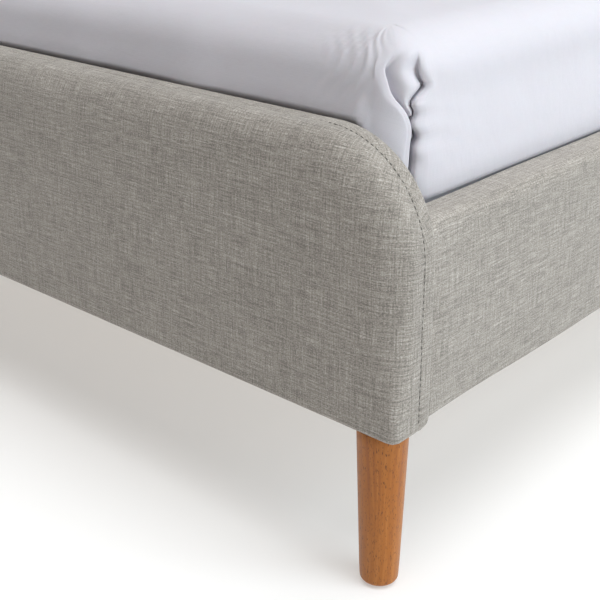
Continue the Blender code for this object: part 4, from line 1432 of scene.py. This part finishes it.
def filled(vertices, faces, pinned, cap):
    """How far each point moves when the cloth is filled: pressure inside, a little spare cloth."""
    mesh = bpy.data.meshes.new("filling")
    mesh.from_pydata([tuple(v) for v in vertices], [], faces)
    bm = bmesh.new()
    bm.from_mesh(mesh)
    bmesh.ops.recalc_face_normals(bm, faces=bm.faces)
    bm.to_mesh(mesh)
    bm.free()
    obj = linked("filling", mesh)
    scene = bpy.context.scene
    group = obj.vertex_groups.new(name="held")
    group.add(np.flatnonzero(pinned).tolist(), 1.0, "REPLACE")
    modifier = obj.modifiers.new("filling", "CLOTH")
    cloth = modifier.settings
    cloth.quality = 6
    cloth.mass = 0.25
    cloth.tension_stiffness = cloth.compression_stiffness = 12.0
    cloth.shear_stiffness = 4.0
    cloth.bending_stiffness = 1.5
    cloth.use_pressure = True
    cloth.uniform_pressure_force = 3.0
    cloth.shrink_min = -0.010
    cloth.vertex_group_mass = "held"
    cloth.effector_weights.gravity = 0.0
    modifier.collision_settings.use_collision = False
    last_frame = 20
    modifier.point_cache.frame_start, modifier.point_cache.frame_end = 1, last_frame
    for step in range(1, last_frame + 1):
        scene.frame_set(step)
    graph = bpy.context.evaluated_depsgraph_get()
    found = obj.evaluated_get(graph).data.vertices
    places = np.empty(len(found) * 3)
    found.foreach_get("co", places)
    bpy.data.objects.remove(obj)
    scene.frame_set(1)
    moves = places.reshape(-1, 3) - np.asarray(vertices)
    far = np.linalg.norm(moves, axis=1)[:, None]
    return moves * (cap * np.tanh(far / cap) / np.maximum(far, 1e-9))


def evened(moves, faces, rounds):
    """Moves smoothed over a mesh, each point taking on the mean of its neighbours."""
    pairs = np.array([(face[k - 1], face[k]) for face in faces for k in range(len(face))])
    pairs = np.concatenate([pairs, pairs[:, ::-1]])
    count = np.maximum(np.bincount(pairs[:, 0], minlength=len(moves)), 1)[:, None]
    for _ in range(rounds):
        sums = [
            np.bincount(pairs[:, 0], moves[pairs[:, 1], k], minlength=len(moves)) for k in range(3)
        ]
        total = np.stack(sums, axis=1)
        moves = 0.4 * moves + 0.6 * total / count
    return moves


def carried(points, vertices, faces, moves):
    """The moves of a coarse mesh, carried over to points that lie on or near it."""
    corners = [Vector(v) for v in vertices]
    tree = BVHTree.FromPolygons(corners, faces)
    result = np.zeros((len(points), 3))
    for k, point in enumerate(points):
        place, _, face, _ = tree.find_nearest(Vector(point))
        shares = poly_3d_calc([corners[v] for v in faces[face]], place)
        result[k] = sum(share * moves[v] for share, v in zip(shares, faces[face]))
    return result


def duvet_filling(settings, fine):
    """Simulates the duvet's cloth on a coarse mesh and gives the fine mesh's moves."""
    coarse = DuvetShape(settings, 0.030, 0.018, 0.014, 7)
    slab = coarse.slab
    vertices = np.column_stack([slab.plan, slab.height])
    pinned = ~coarse.outer | (coarse.on_rim & (coarse.level < 0.405))
    for e in (coarse.e_right, coarse.e_left):
        pinned |= coarse.on_rim & (e > -0.035) & (e < 0.060) & (coarse.phi < 1.2)
    moves = filled(vertices, slab.faces, pinned, 0.010) * 0.4
    moves = evened(moves, slab.faces, 5)
    points = np.column_stack([fine.slab.plan, fine.slab.height])
    result = np.zeros_like(points)
    result[fine.outer] = carried(points[fine.outer], vertices, slab.faces, moves)
    return evened(result, fine.slab.faces, 60)


def crumple(x, y):
    """Soft creases in the duvet's top: a few long shallow folds that wander."""
    bend = soft_noise(x, y, 0.30, 91) * 0.10
    total = np.zeros_like(x)
    for turn, cell, seed in ((0.35, 0.085, 92), (1.25, 0.105, 93), (2.2, 0.070, 94)):
        across = x * math.cos(turn) + y * math.sin(turn) + bend
        along = y * math.cos(turn) - x * math.sin(turn)
        ridge = 1 - np.abs(soft_noise(across, along * 0.22, cell, seed))
        total += ridge**4 * ease(soft_noise(x, y, 0.42, seed + 10), -0.1, 0.6)
    return total


def loose_duvet(settings):
    """A filled duvet over the mattress, tucked inside the rails and pleated at its foot corners."""
    shape = DuvetShape(settings, 0.014, 0.0055, 0.004, pleat_arc(DUVET_CORNER))
    slab = shape.slab
    plan, z = slab.plan.copy(), slab.height.copy()
    outward, rim = slab.normal, shape.on_rim
    level, phi = shape.level, shape.phi

    # soft swelling and creases on the outside
    skin = shape.outer
    x, b = plan[:, 0], plan[:, 1]
    along = np.where(rim, slab.way, 0.0)
    wide = soft_noise(x, b, 0.34, 31) * 0.0060 + soft_noise(x + 0.4 * b, b, 0.15, 32) * 0.0022
    wide = wide + crumple(x, b) * 0.0030
    rim_wave = soft_noise(along, level, 0.15, 33) * 0.0022
    rim_wave = rim_wave + soft_noise(along, level * 0.6, 0.045, 34) * 0.0011
    share = np.where(rim, ease(level, 0.40, 0.45), 0.0)
    edge = np.minimum(shape.half - np.abs(x), shape.length - b)
    on_top = np.where(rim, ease(phi, 0.9, 1.5), 1.0)
    top_share = ease(edge, 0.045, 0.26) * on_top
    swell = (rim_wave - 0.0015) * share * (1 - on_top) + (wide - 0.0015) * top_share
    slack = np.where(rim, 1.0 - ease(level, 0.37, 0.43), 0.0)
    swell = np.where(skin, swell - slack * 0.0008, 0.0)

    # upright folds on the foot side, beside the pleats
    for e in (shape.e_right, shape.e_left):
        near = np.exp(-(((e + 0.062) / 0.030) ** 2))
        near = near * ease(level, 0.44, 0.475) * (1 - ease(level, 0.525, 0.56))
        fold = np.cos((e + 0.012 * np.sin(level * 60)) * 2 * math.pi / 0.0165)
        swell += np.where(skin & rim, near * fold * 0.0017, 0.0)

    plan = plan + outward * (swell * np.cos(phi))[:, None]
    z = z + np.where(skin, swell * np.where(rim, np.sin(phi), 1.0), 0.0)

    filling = duvet_filling(settings, shape)
    plan = plan + filling[:, :2]
    z = z + filling[:, 2]

    # the pleats
    for e, side in ((shape.e_right, 1.0), (shape.e_left, -1.0)):
        zone = rim & (e > PLEAT_ZONE[0]) & (e < PLEAT_ZONE[1]) & (phi < 1.45)
        outer = zone & skin
        moved, depth = pleat(e[outer], level[outer])
        place, direction = outline_point(shape, moved, side)
        inset = slab.inset[outer] + depth * np.cos(phi[outer]) - (swell * np.cos(phi))[outer]
        plan[outer] = place - direction * inset[:, None]
        z[outer] -= depth * np.sin(phi[outer])
        inner = zone & ~skin & (slab.inset > 0.015)
        room = np.exp(-(((e[inner] - 0.012) / 0.027) ** 2)) * 0.0092
        plan[inner] -= outward[inner] * room[:, None]

        # small folds run back from the teeth of the ruffled lip
        now = e.copy()
        now[outer] = moved
        beside = skin & rim & (now > 0.0) & (now < 0.13)
        lip = ruffle(level)
        away = np.clip(now - lip, 0.0, 1.0)
        tooth = ruffle(level + away * 0.16) - ruffle_mean(level + away * 0.16)
        fold = -0.42 * np.clip(tooth, -0.006, 0.006) * np.exp(-away / 0.026)
        crease = soft_noise(level + away * 0.2, away * 0.6, 0.011, 77 + int(side)) * 0.0011
        fold += crease * np.exp(-away / 0.035)
        fold *= (now > lip - 0.002) * (1 - ease(level, 0.485, 0.515)) * ease(level, 0.375, 0.395)
        plan[beside] += outward[beside] * (fold * np.cos(phi))[beside][:, None]

    # walls lean in and the top falls away towards its edges
    edge = np.minimum(shape.half - np.abs(plan[:, 0]), shape.length - plan[:, 1])
    fall = 0.0135 * np.clip(1 - edge / 0.30, 0.0, 1.0) ** 2.2
    fall = fall * np.where(rim, ease(phi, 0.1, 1.57), 1.0)
    z = z - np.where(skin, fall, 0.0)
    e = np.where(plan[:, 0] > 0, shape.e_right, shape.e_left)
    foot = ease(-e, -0.010, 0.045)
    above = level - (0.3705 + 0.0710 * foot)
    lean = 0.0006 + 0.0085 * (1 - foot) * ease(above, 0.018, 0.10)
    lean += 0.0040 * (1 - ease(above, -0.0015, 0.0015))
    lean += 0.0105 * foot * (1 - np.exp(-np.clip(above, 0.0, 1.0) / 0.028))
    lean -= 0.0026 * ease(above, -0.001, 0.002) * (1 - ease(above, 0.008, 0.040))
    lean *= 1 - 0.35 * np.exp(-(((e - 0.010) / 0.030) ** 2))
    plan = plan - outward * np.where(skin & rim, lean * np.cos(phi), 0.0)[:, None]

    # the head edge thins to a soft hem
    b = plan[:, 1]
    thin = np.sqrt(np.clip(1 - (np.clip(0.028 - b, 0.0, 0.028) / 0.028) ** 2, 0.0, 1.0))
    z = np.where(skin & ((~rim) | (phi > 0.3)), z - 0.020 * (1 - thin), z)

    vertices = np.stack([plan[:, 0], shape.high.y - plan[:, 1], z], axis=1)
    uv = slab.cloth_uv(shape.hem_ring)
    return new_piece("white_duvet", vertices, slab.faces, finish_of("cotton"), uv)


# ---------------------------------------------------------------- operators


class BuildOperator:
    """What the builders share."""

    bl_options = {"REGISTER", "UNDO"}

    def execute(self, context):
        if "footboard_cover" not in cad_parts:
            raise RuntimeError("The bed's frame isn't loaded")
        self.build(context.scene)
        return {"FINISHED"}


class BED_OT_boards(BuildOperator, bpy.types.Operator):
    """Build the padded footboard and headboard"""

    bl_idname = "bed.boards"
    bl_label = "Padded boards"

    def build(self, scene):
        cloth = scene.bed_upholstery
        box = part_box("footboard_cover")
        foot = padded_board("footboard", box, box[1].y - box[0].y, cloth, seed=3)
        settle(foot, "footboard_cover", "footboard_foam", slot="upholstery")
        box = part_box("headboard_cover")
        head = padded_board("headboard", box, HEAD_THICKNESS, cloth, head_sweep, seed=23)
        settle(head, "headboard_cover", "headboard_foam", slot="upholstery")


class BED_OT_rails(BuildOperator, bpy.types.Operator):
    """Build the two padded side rails"""

    bl_idname = "bed.rails"
    bl_label = "Padded rails"

    def build(self, scene):
        for side_name, side in SIDES.items():
            node = f"{side_name}_rail_cover"
            rail = padded_rail(f"{side_name}_rail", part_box(node), side, 41 + side)
            settle(rail, node, f"{side_name}_rail_foam", slot="upholstery")


class BED_OT_stitches(BuildOperator, bpy.types.Operator):
    """Sew the topstitching round both boards"""

    bl_idname = "bed.stitches"
    bl_label = "Topstitching"

    def build(self, scene):
        cloth = scene.bed_upholstery
        line = cloth.seam_from_face + cloth.stitch_from_seam
        paths = rim_path(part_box("footboard_cover"), line)
        paths += rim_path(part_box("headboard_cover"), line, head_sweep)
        values = {"Stitch pitch": cloth.stitch_pitch, "Stitch length": cloth.stitch_size,
                  "Thread thickness": THREAD_THICKNESS}
        stitches = stitch_pattern().grow("topstitching", values, path_mesh("seam_paths", paths))
        settle(stitches, slot="upholstery")


class BED_OT_legs(BuildOperator, bpy.types.Operator):
    """Turn the four corner legs"""

    bl_idname = "bed.legs"
    bl_label = "Turned legs"

    def build(self, scene):
        for corner in CORNERS:
            leg, pad = turned_leg(f"turned_leg_{corner}", f"leg_{corner}")
            settle(leg, f"leg_{corner}", slot="leg_wood")
            settle(pad, slot="black_plastic")


class BED_OT_slats(BuildOperator, bpy.types.Operator):
    """Lay the row of slats"""

    bl_idname = "bed.slats"
    bl_label = "Slats"

    def build(self, scene):
        low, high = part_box(SLATS[0])
        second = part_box(SLATS[1])[0]
        size = high - low
        values = {
            "Count": len(SLATS), "Pitch": second.y - low.y, "First slat": (low + high) / 2,
            "Slat length": size.x, "Slat width": size.y, "Slat thickness": size.z,
            "Edge rounding": SLAT_EDGE,
        }
        row = slat_pattern().grow("slats", values)
        sharpen(row, 40.0)
        settle(row, *SLATS, slot="slat_wood")


class BED_OT_supports(BuildOperator, bpy.types.Operator):
    """Build the ledgers, the centre rail, its saddles and legs"""

    bl_idname = "bed.supports"
    bl_label = "Slat supports"

    def build(self, scene):
        for node in [f"slat_ledger_{side}" for side in SIDES] + ["centre_rail"]:
            name = node.replace("slat_", "") + "_beam"
            beam = eased_copy(name, node, finish_of("beam_wood"), 0.0025, 3)
            settle(beam, node, slot="slat_wood")
        for end in ENDS:
            node = f"rail_saddle_{end}"
            saddle = eased_copy(f"saddle_{end}", node, finish_of("zinc"), 0.0006)
            settle(saddle, node, slot="zinc_steel")
        for number in CENTRE_LEGS:
            node = f"centre_leg_{number}"
            leg = eased_copy(f"middle_leg_{number}", node, finish_of("black_steel"), 0.0006)
            settle(leg, node, slot="black_steel")
            node = f"levelling_foot_{number}"
            foot, stem = levelling_foot(f"screw_foot_{number}", node)
            settle(foot, node, slot="black_plastic", body=node)
            settle(stem, slot="zinc_steel", body=node)


class BED_OT_fixings(BuildOperator, bpy.types.Operator):
    """Fit the brackets, bolts and wood screws"""

    bl_idname = "bed.fixings"
    bl_label = "Fixings"

    def build(self, scene):
        for corner in CORNERS:
            node = f"corner_bracket_{corner}"
            bracket = eased_copy(f"bracket_{corner}", node, finish_of("zinc"), 0.0007)
            settle(bracket, node, slot="zinc_steel")
            for level in ("upper", "lower"):
                name = f"bolt_{corner}_{level}"
                low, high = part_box("corner_" + name)
                front = corner.startswith("front")
                face = high.y - BOLT_HEAD if front else low.y + BOLT_HEAD
                place = Vector(((low.x + high.x) / 2, face, (low.z + high.z) / 2))
                direction = (0, 1 if front else -1, 0)
                head = socket_bolt(name, place, direction, (high.x - low.x) / 2, BOLT_HEAD)
                settle(head, "corner_" + name, slot="zinc_steel")
        screw = wood_screw(scene.bed_hardware.screw_radius)
        values = {"Screw head": screw, "Twist": SCREW_TWIST}
        points = point_cloud("screw_places", screw_places())
        screws = screw_pattern().grow("wood_screws", values, points)
        bpy.data.objects.remove(screw)
        sharpen(screws, 30.0)
        settle(screws, slot="zinc_steel")


class BED_OT_mattress(BuildOperator, bpy.types.Operator):
    """Build the quilted mattress"""

    bl_idname = "bed.mattress"
    bl_label = "Mattress"

    def build(self, scene):
        mattress = quilted_mattress(scene.bed_bedding)
        settle(mattress, "mattress", slot="ticking", body="mattress")


class BED_OT_duvet(BuildOperator, bpy.types.Operator):
    """Lay the duvet over the mattress"""

    bl_idname = "bed.duvet"
    bl_label = "Duvet"

    def build(self, scene):
        duvet = loose_duvet(scene.bed_bedding)
        settle(duvet, "duvet", slot="cotton", body="duvet")


class BED_OT_frame_finish(BuildOperator, bpy.types.Operator):
    """Give the hidden cores and metal parts their materials"""

    bl_idname = "bed.frame_finish"
    bl_label = "Hidden parts"

    def build(self, scene):
        finishes = {"_core": "board", "_foam": "foam", "leg_stud": "zinc", "leg_insert": "zinc"}
        for name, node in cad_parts.items():
            found = [finish for key, finish in finishes.items() if key in name]
            for material_slot in node.material_slots if found else ():
                material_slot.material = finish_of(found[-1])


class BED_OT_studio(BuildOperator, bpy.types.Operator):
    """Set the floor, the lights and the camera"""

    bl_idname = "bed.studio"
    bl_label = "Studio"

    def build(self, scene):
        settings = scene.bed_stage
        mesh = bpy.data.meshes.new("floor")
        reach, level = 70.0, -0.0005
        signs = ((-1, -1), (1, -1), (1, 1), (-1, 1))
        corners = [(reach * x, reach * y, level) for x, y in signs]
        mesh.from_pydata(corners, [], [(0, 1, 2, 3)])
        mesh.materials.append(studio_floor(settings))
        floor = linked("floor", mesh)

        world = bpy.data.worlds.new("studio_air")
        world.use_nodes = True
        tree = world.node_tree
        tree.nodes.clear()
        background = tree.nodes.new("ShaderNodeBackground")
        background.inputs["Color"].default_value = (1.0, 1.0, 1.0, 1.0)
        direction = tree.nodes.new("ShaderNodeTexCoord")
        parts = tree.nodes.new("ShaderNodeSeparateXYZ")
        tree.links.new(direction.outputs["Generated"], parts.inputs[0])
        sky = tree.nodes.new("ShaderNodeMapRange")
        sky.interpolation_type = "SMOOTHSTEP"
        levels = {"From Min": 0.13, "From Max": 0.21,
                  "To Min": settings.horizon, "To Max": settings.ambient}
        for socket, value in levels.items():
            sky.inputs[socket].default_value = value
        tree.links.new(parts.outputs["Z"], sky.inputs["Value"])
        tree.links.new(sky.outputs["Result"], background.inputs["Strength"])
        out = tree.nodes.new("ShaderNodeOutputWorld")
        tree.links.new(background.outputs[0], out.inputs[0])
        scene.world = world

        target = Vector((0.3, -0.6, 0.35))
        key = bpy.data.lights.new("key_light", "AREA")
        key.energy, key.size, key.color = settings.key, 4.0, (0.85, 0.945, 1.0)
        top = bpy.data.lights.new("top_light", "SUN")
        top.energy, top.angle = settings.top, math.radians(50)
        overhead = target + Vector((0.12, 0.03, 1.0)) * 4
        for light, place in ((key, Vector((5.5, 0.3, 3.2))), (top, overhead)):
            turn = (target - place).to_track_quat("-Z", "Y").to_matrix().to_4x4()
            linked(light.name, light).matrix_world = Matrix.Translation(place) @ turn

        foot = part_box("footboard_cover")
        lens = bpy.data.cameras.new("camera")
        lens.lens, lens.sensor_width, lens.shift_y = settings.lens, 36.0, -0.12
        lens.clip_start, lens.clip_end = 0.05, 300.0
        camera = linked("camera", lens)
        place = Vector((foot[1].x + 0.529, foot[0].y - 0.718, 0.704))
        heading, dip = math.radians(41.81), math.radians(90 - 19.98)
        turn = Matrix.Rotation(heading, 4, "Z") @ Matrix.Rotation(dip, 4, "X")
        camera.matrix_world = Matrix.Translation(place) @ turn
        scene.camera = camera
        scene.view_settings.view_transform = "Standard"


class BED_PT_panel(bpy.types.Panel):
    """The builders and their settings"""

    bl_idname = "BED_PT_panel"
    bl_label = "Sleigh Bed"
    bl_space_type = "VIEW_3D"
    bl_region_type = "UI"
    bl_category = "Sleigh Bed"

    def draw(self, context):
        layout = self.layout
        for operator in OPERATORS:
            layout.operator(operator.bl_idname)
        for name, (_, group) in SETTINGS.items():
            box = layout.box()
            box.label(text=group)
            settings = getattr(context.scene, name)
            for key in type(settings).__annotations__:
                box.prop(settings, key)


OPERATORS = (
    BED_OT_boards, BED_OT_rails, BED_OT_stitches, BED_OT_legs, BED_OT_slats, BED_OT_supports,
    BED_OT_fixings, BED_OT_mattress, BED_OT_duvet, BED_OT_frame_finish, BED_OT_studio,
)
SETTINGS = {
    "bed_upholstery": (UpholsterySettings, "Upholstery"),
    "bed_bedding": (BeddingSettings, "Bedding"),
    "bed_timber": (TimberSettings, "Timber"),
    "bed_hardware": (HardwareSettings, "Hardware"),
    "bed_stage": (StageSettings, "Studio"),
}


def register():
    for name, (kind, _) in SETTINGS.items():
        bpy.utils.register_class(kind)
        setattr(bpy.types.Scene, name, bpy.props.PointerProperty(type=kind))
    for operator in OPERATORS:
        bpy.utils.register_class(operator)
    bpy.utils.register_class(BED_PT_panel)


def unregister():
    bpy.utils.unregister_class(BED_PT_panel)
    for operator in reversed(OPERATORS):
        bpy.utils.unregister_class(operator)
    for name, (kind, _) in SETTINGS.items():
        delattr(bpy.types.Scene, name)
        bpy.utils.unregister_class(kind)


def main():
    register()
    for operator in OPERATORS:
        group, name = operator.bl_idname.split(".")
        getattr(getattr(bpy.ops, group), name)()


if __name__ == "__main__":
    main()
